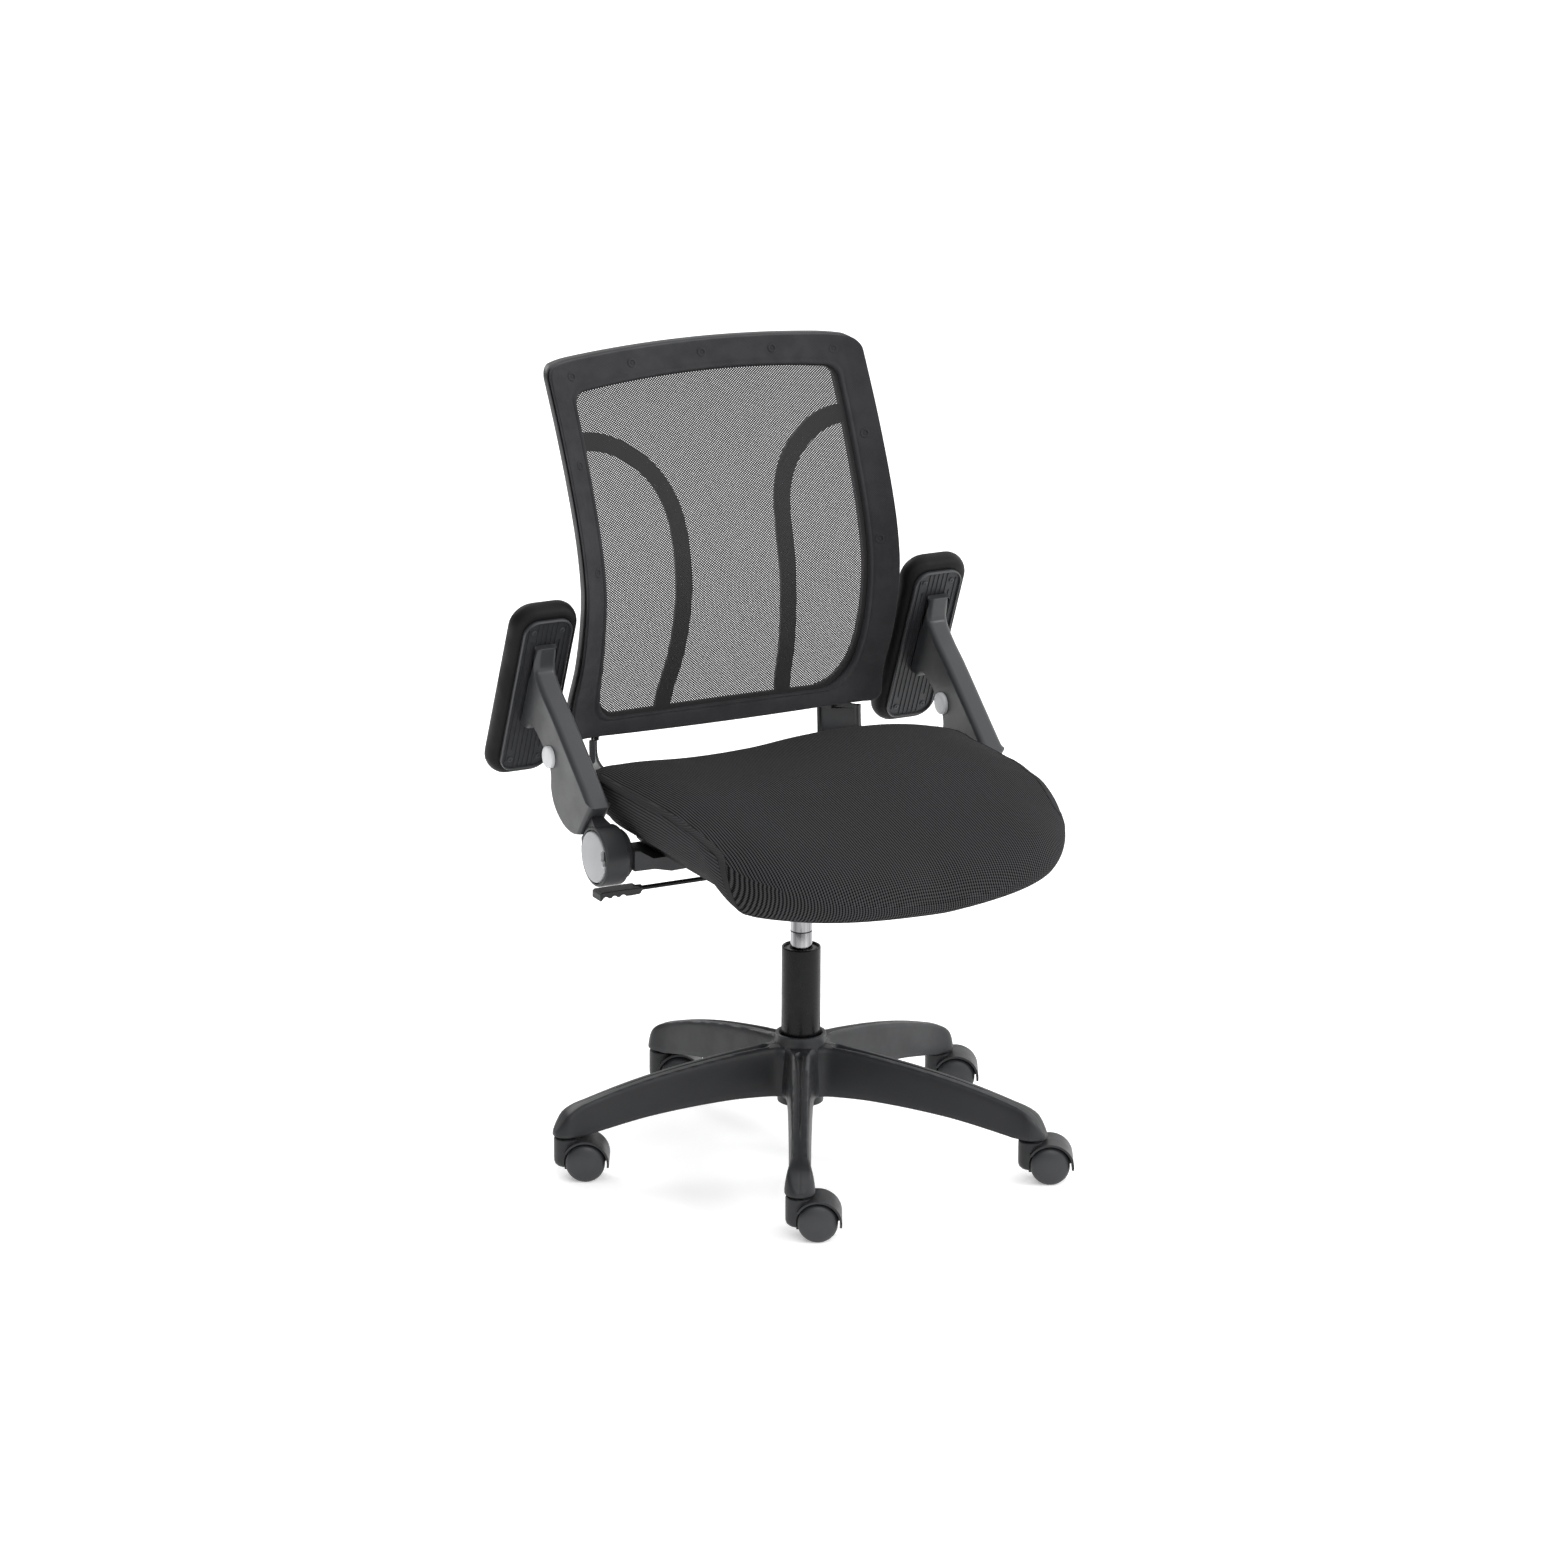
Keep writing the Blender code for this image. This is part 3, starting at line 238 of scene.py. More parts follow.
def shaped(mesh, cuts=(), joins=()):
    """The mesh joined to some meshes and cut by others."""
    target = bpy.data.objects.new("target", mesh)
    bpy.context.scene.collection.objects.link(target)
    helpers = [target]
    for operation, tools in (("UNION", joins), ("DIFFERENCE", cuts)):
        for tool in tools:
            helper = bpy.data.objects.new("tool", tool)
            bpy.context.scene.collection.objects.link(helper)
            helpers.append(helper)
            modifier = target.modifiers.new("Boolean", "BOOLEAN")
            modifier.operation = operation
            modifier.object = helper
    graph = bpy.context.evaluated_depsgraph_get()
    result = bpy.data.meshes.new_from_object(target.evaluated_get(graph))
    for helper in helpers:
        bpy.data.objects.remove(helper)
    return result


def soften(obj, bevel, segments=2):
    """Rounds an object's edges of over 32 degrees and keeps its broad faces flat in the shading."""
    modifier = obj.modifiers.new("Bevel", "BEVEL")
    modifier.width = bevel
    modifier.segments = segments
    modifier.limit_method = "ANGLE"
    modifier.angle_limit = math.radians(32)
    modifier.harden_normals = False
    modifier.use_clamp_overlap = True
    weighted = obj.modifiers.new("Normals", "WEIGHTED_NORMAL")
    weighted.keep_sharp = True


def piece(name, mesh, body, slot, nodes=(), bevel=0.0, segments=2, sharp=38, place=CHAIR):
    """A visible piece in its finish, riding on a body and standing for some CAD nodes."""
    mesh.transform(place)
    mesh.materials.clear()
    mesh.materials.append(FINISH[slot])
    mesh.name = name
    mesh.shade_smooth()
    mesh.set_sharp_from_angle(angle=math.radians(sharp))
    obj = bpy.data.objects.new(name, mesh)
    bpy.context.scene.collection.objects.link(obj)
    if bevel:
        soften(obj, bevel, segments)
    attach(obj, body)
    if nodes:
        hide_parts(*nodes)
    return obj


# ---------------------------------------------------------------- materials

class Finish:
    """A Principled material with short helpers for its nodes."""

    def __init__(self, name, roughness, metallic=0.0):
        self.material = bpy.data.materials.new(name)
        self.material.use_nodes = True
        self.tree = self.material.node_tree
        self.shader = self.tree.nodes["Principled BSDF"]
        self.set("Roughness", roughness)
        self.set("Metallic", metallic)
        self.place = self.node("ShaderNodeTexCoord").outputs["Object"]

    def node(self, kind, **values):
        made = self.tree.nodes.new(kind)
        for key, value in values.items():
            setattr(made, key, value)
        return made

    def link(self, source, target):
        self.tree.links.new(source, target)

    def set(self, socket, value):
        self.shader.inputs[socket].default_value = value

    def feed(self, socket, source):
        self.link(source, self.shader.inputs[socket])

    def noise(self, scale, detail=3.0, roughness=0.5, vector=None):
        made = self.node("ShaderNodeTexNoise")
        made.inputs["Scale"].default_value = scale
        made.inputs["Detail"].default_value = detail
        made.inputs["Roughness"].default_value = roughness
        self.link(vector or self.place, made.inputs["Vector"])
        return made.outputs["Fac"]

    def math(self, operation, a, b=None, c=None):
        made = self.node("ShaderNodeMath", operation=operation)
        for i, value in enumerate((a, b, c)):
            if value is None:
                continue
            if isinstance(value, (int, float)):
                made.inputs[i].default_value = value
            else:
                self.link(value, made.inputs[i])
        return made.outputs[0]

    def span(self, source, low, high, start=0.0, end=1.0):
        """source taken from start..end to low..high, smoothly and clamped."""
        made = self.node("ShaderNodeMapRange", interpolation_type="SMOOTHSTEP")
        self.link(source, made.inputs["Value"])
        for key, value in (("From Min", start), ("From Max", end), ("To Min", low), ("To Max", high)):
            made.inputs[key].default_value = value
        return made.outputs["Result"]

    def ramp(self, source, *stops):
        made = self.node("ShaderNodeValToRGB")
        band = made.color_ramp
        for i, (spot, colour) in enumerate(stops):
            stop = band.elements[i] if i < 2 else band.elements.new(spot)
            stop.position = spot
            stop.color = (*colour, 1)
        self.link(source, made.inputs["Fac"])
        return made.outputs["Color"]

    def mix(self, share, a, b):
        made = self.node("ShaderNodeMix", data_type="RGBA")
        for i, value in ((0, share), (6, a), (7, b)):
            if hasattr(value, "default_value"):
                self.link(value, made.inputs[i])
            else:
                made.inputs[i].default_value = value if i == 0 else (*value, 1)
        return made.outputs[2]

    def bump(self, height, distance, strength):
        made = self.node("ShaderNodeBump")
        made.inputs["Distance"].default_value = distance
        made.inputs["Strength"].default_value = strength
        self.link(height, made.inputs["Height"])
        self.feed("Normal", made.outputs["Normal"])

    def axis(self, index, source=None):
        """One coordinate of a vector: 0, 1 or 2."""
        made = self.node("ShaderNodeSeparateXYZ")
        self.link(source or self.place, made.inputs[0])
        return made.outputs[index]

    def stretched(self, scales):
        """The object's own coordinates, each times its scale."""
        made = self.node("ShaderNodeVectorMath", operation="MULTIPLY")
        self.link(self.place, made.inputs[0])
        made.inputs[1].default_value = scales
        return made.outputs[0]

    def wave(self, source, pitch):
        """A cosine of source, from -1 to 1, with this pitch in metres."""
        return self.math("COSINE", self.math("MULTIPLY", source, 2 * math.pi / pitch))


def shade(colour, factor):
    return tuple(c * factor for c in colour)


def moulded(name, colour, roughness, grain=0.00006, wear_and_highlight=0.25, gloss=0.5):
    """Moulded plastic: a fine spark-eroded grain, faint flow marks, and lightened edges that are partly
    handling wear and partly a painted highlight.
    """
    finish = Finish(name, roughness)
    flow = finish.noise(9.0, 4.0, 0.6)
    base = finish.ramp(flow, (0.3, shade(colour, 0.93)), (0.7, shade(colour, 1.07)))
    edge = finish.node("ShaderNodeNewGeometry").outputs["Pointiness"]
    # Sharp edges are lightened: partly handling wear, partly a painted highlight where edges catch the light.
    worn = finish.span(edge, 0.0, wear_and_highlight, 0.52, 0.60)
    finish.feed("Base Color", finish.mix(worn, base, shade(colour, 1.9)))
    smudge = finish.noise(26.0, 5.0, 0.62)
    finish.feed("Roughness", finish.span(smudge, roughness - 0.05, roughness + 0.07, 0.3, 0.7))
    finish.bump(finish.noise(1500.0, 2.0, 0.5), grain, 0.9)
    finish.set("Specular IOR Level", gloss)
    return finish.material


def coated_steel(name, colour, roughness):
    """Satin powder coat: a soft orange-peel under a thin gloss."""
    finish = Finish(name, roughness)
    patch = finish.noise(14.0, 4.0)
    finish.feed("Base Color", finish.ramp(patch, (0.3, shade(colour, 0.9)), (0.7, shade(colour, 1.12))))
    finish.feed("Roughness", finish.span(finish.noise(60.0, 4.0), roughness - 0.05, roughness + 0.06, 0.3,
                                         0.7))
    finish.bump(finish.noise(500.0, 2.0), 0.000012, 0.5)
    finish.set("Specular IOR Level", 0.18)
    return finish.material


def bare_metal(name, colour, roughness, stretch):
    """Plated or polished metal with faint streaks, long where the stretch is small."""
    finish = Finish(name, roughness, 1.0)
    lines = finish.noise(1.0, 3.0, 0.6, finish.stretched(stretch))
    finish.feed("Base Color", finish.ramp(lines, (0.34, shade(colour, 0.45)), (0.66, shade(colour, 1.35))))
    finish.feed("Roughness", finish.span(lines, roughness * 0.8, roughness * 1.5, 0.3, 0.7))
    finish.bump(lines, 0.00002, 0.35)
    return finish.material


def woven(name, dark, thread, pitch, cross, depth, lines=0.64):
    """Ribbed spacer fabric: raised ribs along V, crossed by finer courses with a dark eye between them.
    Its UV map is in metres, U across the ribs."""
    finish = Finish(name, 0.9)
    weave = finish.node("ShaderNodeUVMap", uv_map="weave").outputs["UV"]
    wobble = finish.noise(14.0, 3.0)
    u = finish.math("MULTIPLY_ADD", wobble, pitch * 0.6, finish.axis(0, weave))
    v = finish.axis(1, weave)
    rib = finish.math("MULTIPLY_ADD", finish.wave(u, pitch), 0.5, 0.5)
    course = finish.math("MULTIPLY_ADD", finish.wave(v, cross), 0.5, 0.5)
    height = finish.math("MULTIPLY_ADD", course, 1 - lines, finish.math("MULTIPLY", rib, lines))
    fuzz = finish.noise(2600.0, 2.0, 0.6)
    patch = finish.noise(5.0, 4.0, 0.6)
    tone = finish.math("MULTIPLY_ADD", fuzz, 0.16, finish.math("MULTIPLY_ADD", patch, 0.10, height))
    finish.feed("Base Color", finish.ramp(tone, (0.34, dark), (0.86, thread)))
    finish.feed("Roughness", finish.span(fuzz, 0.82, 0.97, 0.3, 0.7))
    finish.bump(height, depth, 0.8)
    finish.set("Sheen Weight", 0.01)
    finish.set("Sheen Roughness", 0.45)
    finish.set("Specular IOR Level", 0.02)
    return finish.material


def knitted(name, thread, pitch, rise, open_over):
    """Open knitted mesh: a diagonal lattice of small eyes with threads between them."""
    finish = Finish(name, 0.85)
    weave = finish.node("ShaderNodeUVMap", uv_map="weave").outputs["UV"]
    wobble = finish.noise(12.0, 2.0)
    u = finish.math("MULTIPLY_ADD", wobble, pitch * 0.5, finish.axis(0, weave))
    v = finish.axis(1, weave)
    lattice = finish.math("MULTIPLY", finish.wave(u, pitch), finish.wave(v, rise))
    solid = finish.span(lattice, 1.0, 0.0, open_over - 0.07, open_over + 0.07)
    finish.feed("Alpha", solid)
    fibre = finish.noise(3000.0, 2.0, 0.6)
    finish.feed("Base Color", finish.ramp(fibre, (0.3, shade(thread, 0.75)), (0.7, shade(thread, 1.3))))
    finish.bump(solid, 0.0002, 0.6)
    finish.set("Specular IOR Level", 0.2)
    return finish.material


def stretched_cover(name, dark, thread):
    """Fine fabric pulled tight over a plastic frame."""
    finish = Finish(name, 0.8)
    across, up = finish.axis(0), finish.axis(2)
    lattice = finish.math("MULTIPLY", finish.wave(across, 0.0020), finish.wave(up, 0.0022))
    patch = finish.noise(7.0, 3.0)
    tone = finish.math("MULTIPLY_ADD", finish.noise(2500.0), 0.3,
                       finish.math("MULTIPLY_ADD", lattice, 0.3, patch))
    finish.feed("Base Color", finish.ramp(tone, (0.35, dark), (0.95, thread)))
    finish.feed("Roughness", finish.span(finish.noise(40.0), 0.68, 0.86, 0.3, 0.7))
    finish.bump(lattice, 0.00010, 0.7)
    finish.set("Sheen Weight", 0.03)
    finish.set("Specular IOR Level", 0.25)
    return finish.material


def soft_skin(name, colour):
    """Self-skinned foam: a soft leathery grain with broad worn patches."""
    finish = Finish(name, 0.55)
    patch = finish.noise(11.0, 4.0)
    finish.feed("Base Color", finish.ramp(patch, (0.3, shade(colour, 0.85)), (0.7, shade(colour, 1.2))))
    cells = finish.node("ShaderNodeTexVoronoi", feature="DISTANCE_TO_EDGE")
    cells.inputs["Scale"].default_value = 900.0
    finish.link(finish.place, cells.inputs["Vector"])
    finish.feed("Roughness", finish.span(finish.noise(35.0), 0.48, 0.62, 0.3, 0.7))
    crease = finish.span(cells.outputs["Distance"], 0.0, 1.0, 0.0, 0.25)
    finish.bump(crease, 0.00005, 0.6)
    finish.set("Specular IOR Level", 0.16)
    return finish.material


def wood_board(name, colour):
    """A painted board with faint grain telegraphing through."""
    finish = Finish(name, 0.7)
    grain = finish.noise(1.0, 4.0, 0.6, finish.stretched((420.0, 22.0, 420.0)))
    finish.feed("Base Color", finish.ramp(grain, (0.3, shade(colour, 0.8)), (0.7, shade(colour, 1.35))))
    finish.feed("Roughness", finish.span(grain, 0.62, 0.8, 0.3, 0.7))
    finish.bump(grain, 0.0001, 0.5)
    return finish.material


def finishes():
    return {
        "nylon": moulded("nylon", (0.0175, 0.0182, 0.0198), 0.42, gloss=0.30),
        "wheel": moulded("wheel", (0.027, 0.028, 0.030), 0.40, gloss=0.42),
        "black_steel": coated_steel("black_steel", (0.0045, 0.0047, 0.0056), 0.27),
        "bush": moulded("bush", (0.16, 0.16, 0.16), 0.45),
        "zinc": bare_metal("zinc", (0.36, 0.36, 0.37), 0.30, (30.0, 30.0, 900.0)),
        "chrome": bare_metal("chrome", (0.28, 0.28, 0.29), 0.12, (150.0, 150.0, 3.0)),
        "plywood": wood_board("plywood", (0.018, 0.018, 0.019)),
        "seat_fabric": woven("seat_fabric", (0.0012, 0.0012, 0.0015), (0.050, 0.050, 0.052),
                             0.0034, WEAVE_CROSS, 0.0006),
        "frame_fabric": stretched_cover("frame_fabric", (0.011, 0.011, 0.0125), (0.026, 0.026, 0.029)),
        "back_plastic": moulded("back_plastic", (0.020, 0.021, 0.023), 0.42, gloss=0.35),
        "mesh": knitted("mesh", (0.026, 0.025, 0.026), 0.0038, 0.0033, 0.60),
        "arm_plastic": moulded("arm_plastic", (0.031, 0.0322, 0.0345), 0.34, gloss=0.38),
        "silver": moulded("silver", (0.32, 0.33, 0.34), 0.34, 0.00002),
        "button": moulded("button", (0.60, 0.61, 0.62), 0.30, 0.00002, wear_and_highlight=0.0),
        "pad": soft_skin("pad", (0.0034, 0.0034, 0.0038)),
        "piping": woven("piping", (0.020, 0.020, 0.021), (0.044, 0.044, 0.046), 0.0011, 0.0012, 0.0001, 0.5),
        "stitching": moulded("stitching", (0.008, 0.008, 0.009), 0.85, gloss=0.1),
    }


# ---------------------------------------------------------------- base and casters

STAR_TURN = math.radians(-27.8)
LEG_COUNT = 5
STEM_CIRCLE = 0.309
LEG_END_RADIUS = 0.0195
LEG_FOOT_Z = 0.0575
HUB_TOP_Z = 0.1646
WHEEL_TRAIL = 0.0225
WHEEL_RADIUS = 0.025
WHEEL_INNER_Y = 0.0062

LEG_TOP = [(0.02, 0.1530), (0.10, 0.1432), (0.20, 0.1243), (0.28, 0.1015), (0.312, 0.0865),
           (0.3285, 0.0610)]
LEG_FOOT = [(0.02, 0.0860), (0.10, 0.0855), (0.20, 0.0752), (0.28, 0.0592), (0.2885, LEG_FOOT_Z),
            (0.33, LEG_FOOT_Z)]
LEG_HALF_WIDTH = [(0.02, 0.0270), (0.031, 0.0250), (0.038, 0.0205), (0.048, 0.0182), (0.10, 0.0160),
                  (0.24, 0.0142), (0.285, 0.0150), (0.309, LEG_END_RADIUS)]
GROOVE_HALF_WIDTH = [(0.020, 0.0008), (0.041, 0.0008), (0.047, 0.0068), (0.060, 0.0052), (0.12, 0.0028),
                     (0.235, 0.0012), (0.25, 0.0008)]
GROOVE_DEPTH = [(0.020, 0.0), (0.041, 0.0), (0.047, 0.0048), (0.060, 0.0042), (0.12, 0.0026),
                (0.235, 0.0012), (0.25, 0.0)]
# Half of a leg's section, from its foot to its shoulder: shares of the half width and of the height.
LEG_SECTION = [(0.0, 0.0), (0.88, 0.0), (0.955, 0.012), (0.985, 0.05), (0.98, 0.2), (0.95, 0.4),
               (0.90, 0.6), (0.85, 0.76), (0.79, 0.87), (0.70, 0.945), (0.58, 0.985)]


def leg_turn(index):
    """A leg's heading from +X: the first leg points forwards, turned by STAR_TURN."""
    return math.radians(-90) + STAR_TURN + 2 * math.pi * index / LEG_COUNT


def stem_place(index):
    return (STEM_CIRCLE * math.cos(leg_turn(index)), STEM_CIRCLE * math.sin(leg_turn(index)), 0)


def leg_mesh(turn):
    stations = [0.024 + 0.003 * i for i in range(14)] + [0.066 + 0.01 * i for i in range(22)]
    stations += [0.281, 0.286, 0.292, 0.298, 0.3035, 0.309, 0.3135, 0.3175, 0.321, 0.3242, 0.3265, 0.328]
    rings = []
    for along in stations:
        half = smooth_value(LEG_HALF_WIDTH, along)
        if along > STEM_CIRCLE:
            half = math.sqrt(LEG_END_RADIUS**2 - (along - STEM_CIRCLE) ** 2)
        low, high = smooth_value(LEG_FOOT, along), smooth_value(LEG_TOP, along)
        rise = high - low
        side = [(half * wide, low + rise * tall) for wide, tall in LEG_SECTION[1:]]
        wide, deep = smooth_value(GROOVE_HALF_WIDTH, along), smooth_value(GROOVE_DEPTH, along)
        wide = min(wide, half * 0.4)
        lip = high - 0.002 * rise
        side += [(wide + 0.0022, lip + 0.0004), (wide, lip), (wide * 0.72, lip - deep * 0.55),
                 (wide * 0.4, lip - deep * 0.92)]
        section = side + [(0.0, lip - deep)] + [(-y, z) for y, z in reversed(side)]
        rings.append([(along, y, z) for y, z in section])
    mesh = loft(rings)
    mesh.transform(Matrix.Rotation(turn, 4, "Z"))
    return mesh


def star_base_mesh():
    bore = 0.0262
    hub = lathe([(bore, 0.072), (0.0284, 0.072), (0.0292, 0.0724), (0.0295, 0.0735), (0.0295, 0.0835),
                 (0.0303, 0.0858), (0.0325, 0.0880), (0.0335, 0.0895), (0.0335, 0.148), (0.0331, 0.153),
                 (0.0326, 0.158), (0.0326, 0.1626), (0.0322, 0.1640), (0.0312, HUB_TOP_Z),
                 (0.0292, HUB_TOP_Z), (0.0282, 0.1640), (0.0276, 0.1625), (bore, 0.1610)], 80)
    legs = [leg_mesh(leg_turn(i)) for i in range(LEG_COUNT)]
    bore_cut = lathe([(0, 0.06), (bore, 0.06), (bore, 0.18), (0, 0.18)], 80)
    return shaped(hub, joins=legs, cuts=[bore_cut])


def build_base():
    piece("base_star", star_base_mesh(), "base", "nylon", ["star_base"], bevel=0.0008)
    piece("base_tube", lathe([(0.0, 0.0755), (0.0238, 0.0755), (0.0250, 0.079), (0.0250, 0.2772),
                              (0.0247, 0.2784), (0.0240, 0.2791), (0.0231, 0.2791), (0.0224, 0.2785),
                              (0.0218, 0.2775), (0.0218, 0.10), (0.0, 0.10)], 80), "base", "black_steel",
          ["lift_outer_tube"])
    piece("base_bush", lathe([(0.0145, 0.240), (0.0215, 0.240), (0.0215, 0.2752), (0.0210, 0.2760),
                              (0.0200, 0.2760), (0.0196, 0.2752), (0.0190, 0.2752), (0.0186, 0.2764),
                              (0.0165, 0.2768), (0.0150, 0.2768), (0.0145, 0.2760)], 64), "base", "bush",
          ["lift_guide_bush"])
    hood = hood_mesh()
    for i in range(LEG_COUNT):
        number = i + 1
        place = CHAIR @ Matrix.Translation(stem_place(i)) @ Matrix.Rotation(STAR_TURN, 4, "Z")
        piece(f"hood_{number}", hood.copy(), f"caster_{number}", "nylon", [f"caster_hood_{number}"],
              bevel=0.0007, place=place)
        for letter, side in (("a", -1), ("b", 1)):
            piece(f"wheel_{number}{letter}", wheel_mesh(side), f"wheel_{number}{letter}", "wheel",
                  [f"caster_wheel_{number}{letter}"], place=place, sharp=30)


def wheel_well(side):
    """The round space that one wheel turns in."""
    well = [(0, 0), (0.0268, 0), (0.0268, 0.03), (0, 0.03)]
    inner = WHEEL_INNER_Y - GAP
    return moved(lathe(well, 72, lambda x, z, y: (x, side * (inner + y), z)),
                 (WHEEL_TRAIL, 0, WHEEL_RADIUS))


def hood_mesh():
    """The swivelling hood in its own frame: the Z axis is the stem, and the wheels trail towards +X."""
    centre = (WHEEL_TRAIL, WHEEL_RADIUS)
    housing = lathe([(0, 0.0162), (0.0100, 0.0162), (0.0140, 0.0172), (0.0165, 0.0195), (0.0176, 0.0230),
                     (0.0178, 0.0275), (0.0178, 0.0520), (0.0174, 0.0534), (0.0166, 0.0540), (0, 0.0540)],
                    64)
    fender = arc(centre, 0.0302, -8, 150, 40) + arc(centre, 0.0274, 150, -8, 40)
    web = arc(centre, 0.0285, 0, 178, 24) + [(-0.004, 0.012), (WHEEL_TRAIL, 0.0125),
                                             (WHEEL_TRAIL + 0.012, 0.016)]
    stem_hole = lathe([(0, 0.0440), (0.0062, 0.0440), (0.0062, 0.06), (0, 0.06)], 24)
    cuts = [wheel_well(1), wheel_well(-1), stem_hole]
    joins = [prism(fender, -0.0255, 0.0255, along_y), prism(web, -0.0056, 0.0056, along_y)]
    return shaped(housing, joins=joins, cuts=cuts)


def wheel_mesh(side):
    """One of the twin wheels: a domed face, a round shoulder and a plain tread. side is 1 or -1."""
    profile = [(0, 0.0268), (0.004, 0.02675), (0.008, 0.0265), (0.012, 0.0260), (0.016, 0.0252),
               (0.0195, 0.0241), (0.0220, 0.0229), (0.0232, 0.0219), (0.0236, 0.0213), (0.0243, 0.0207),
               (0.0248, 0.0197), (0.0250, 0.0182), (0.0250, 0.0095), (0.0248, 0.0078), (0.0242, 0.0067),
               (0.0230, WHEEL_INNER_Y), (0.0150, WHEEL_INNER_Y), (0.0142, 0.0080), (0.0080, 0.0080),
               (0.0072, WHEEL_INNER_Y), (0.0034, WHEEL_INNER_Y), (0.0034, 0.0195), (0, 0.0195)]
    mesh = lathe(profile, 72, lambda x, z, y: (x, side * y, z))
    return moved(mesh, (WHEEL_TRAIL, 0, WHEEL_RADIUS))


# ---------------------------------------------------------------- lift and tilt mechanism

LEVER_Y = 0.040
LEVER_Z = 0.3735
KNOB_Y = -0.058


def screw_head(radius, height):
    """A pan head with a cross recess, its underside on z = 0."""
    head = lathe([(0, 0), (radius, 0), (radius, height * 0.45), (radius * 0.86, height * 0.8),
                  (radius * 0.5, height * 0.97), (0, height)], 32)
    wide, deep = radius * 0.14, height * 0.45
    cuts = [box((-radius * 0.6, -wide, deep), (radius * 0.6, wide, height * 1.2)),
            box((-wide, -radius * 0.6, deep), (wide, radius * 0.6, height * 1.2))]
    return shaped(head, cuts=cuts)


def hex_head(radius, height):
    """A hexagon head on a washer, its underside on z = 0."""
    angles = [math.radians(60 * i) for i in range(6)]
    nut = prism([(radius * math.cos(a), radius * math.sin(a)) for a in angles], height * 0.25, height,
                along_z)
    washer = lathe([(0, 0), (radius * 1.35, 0), (radius * 1.35, height * 0.25), (0, height * 0.25)], 40)
    return merged([washer, nut])


def fixings(make, spots):
    """Copies of one fixing, each placed by a matrix."""
    meshes = []
    for matrix in spots:
        mesh = make.copy()
        mesh.transform(matrix)
        meshes.append(mesh)
    return merged(meshes)


def facing_down(x, y, z):
    return Matrix.Translation((x, y, z)) @ Matrix.Rotation(math.pi, 4, "X")


def build_mechanism():
    profile = [(0, 0.372), (0.0058, 0.372), (0.0058, 0.19), (0.0136, 0.19), (0.0140, 0.1906),
               (0.0140, 0.2988), (0.01385, 0.2992), (0.01385, 0.3004), (0.0140, 0.3008), (0.0140, 0.362),
               (0.0132, 0.4044), (0.0128, 0.405), (0.0045, 0.405), (0.0045, 0.3965), (0, 0.3965)]
    piece("lift_cylinder", lathe(profile, 80), "mechanism", "chrome", ["gas_cylinder"])
    ring = lathe([(0.0137, 0.2990), (0.01402, 0.2991), (0.01402, 0.3005), (0.0137, 0.3006)], 80)
    piece("lift_cylinder_mark", ring, "mechanism", "stitching")
    grip = [(0, 0.334), (0.0175, 0.334), (0.0195, 0.3345), (0.0208, 0.3362), (0.0210, 0.338),
            (0.0210, 0.352), (0.0204, 0.3540), (0.0185, 0.3562), (0.0168, 0.3575), (0.0048, 0.3575),
            (0.0048, 0.372), (0, 0.372)]
    knob = moved(lathe(grip, 144, flutes=18, depth=0.055), (0, KNOB_Y, 0))
    piece("tilt_knob", knob, "knob", "nylon", ["tension_knob"])
    build_lever()
    for name in ("mechanism_housing", "seat_plate"):
        dress(name, "black_steel", 0.0010)
    dress("piston_rod", "chrome")
    for name in ("tilt_axle", "release_button", "thrust_bearing"):
        dress(name, "zinc")
    for i in range(LEG_COUNT):
        dress(f"caster_stem_{i + 1}", "zinc")
        dress(f"caster_axle_{i + 1}", "zinc")
    bolts = [facing_down(x, y, 0.4345) for x in (-0.070, 0.070) for y in (-0.115, 0.083)]
    piece("plate_bolts", fixings(hex_head(0.0055, 0.0045), bolts), "seat", "zinc")


def dress(name, slot, bevel=0.0):
    """A CAD node that stays, in a better finish and with softened edges."""
    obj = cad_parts[name]
    obj.data.materials.clear()
    obj.data.materials.append(FINISH[slot])
    if bevel:
        soften(obj, bevel)


def build_lever():
    bend = [(-0.060, LEVER_Y, LEVER_Z), (-0.040, 0.039, 0.377), (-0.029, 0.029, 0.392),
            (-0.017, 0.014, 0.409), (-0.003, 0.001, 0.4152)]
    rod = tube([(-0.2122, LEVER_Y, LEVER_Z)] + smooth_path(bend, 6), 0.003)
    piece("lever_bar", rod, "lever", "black_steel", ["lever_rod"])
    low, high = LEVER_Z - 0.0045, LEVER_Z + 0.0045
    underside = []
    for i in range(3):
        underside += arc((-0.2615 + 0.012 * i, low - 0.0022), 0.0050, 150, 30, 12)
    outline = [(-0.2695, low - 0.002), (-0.2680, low - 0.0022)] + underside
    outline += [(-0.226, low), (-0.2145, low + 0.0006), (-0.2125, low + 0.002), (-0.2125, high - 0.0012),
                (-0.2140, high - 0.0002), (-0.240, high + 0.0002), (-0.2670, high),
                (-0.2695, high - 0.0022)]
    paddle = prism(outline, LEVER_Y - 0.012, LEVER_Y + 0.012, along_y)
    collar = lathe([(0, -0.2175), (0.0052, -0.2175), (0.0050, -0.2080), (0.0044, -0.2070), (0, -0.2070)],
                   32, along_x)
    piece("lever_paddle", paddle, "lever", "nylon", ["lever_handle"], bevel=0.0014, segments=3)
    piece("lever_collar", moved(collar, (0, LEVER_Y, LEVER_Z)), "lever", "nylon")


# ---------------------------------------------------------------- seat

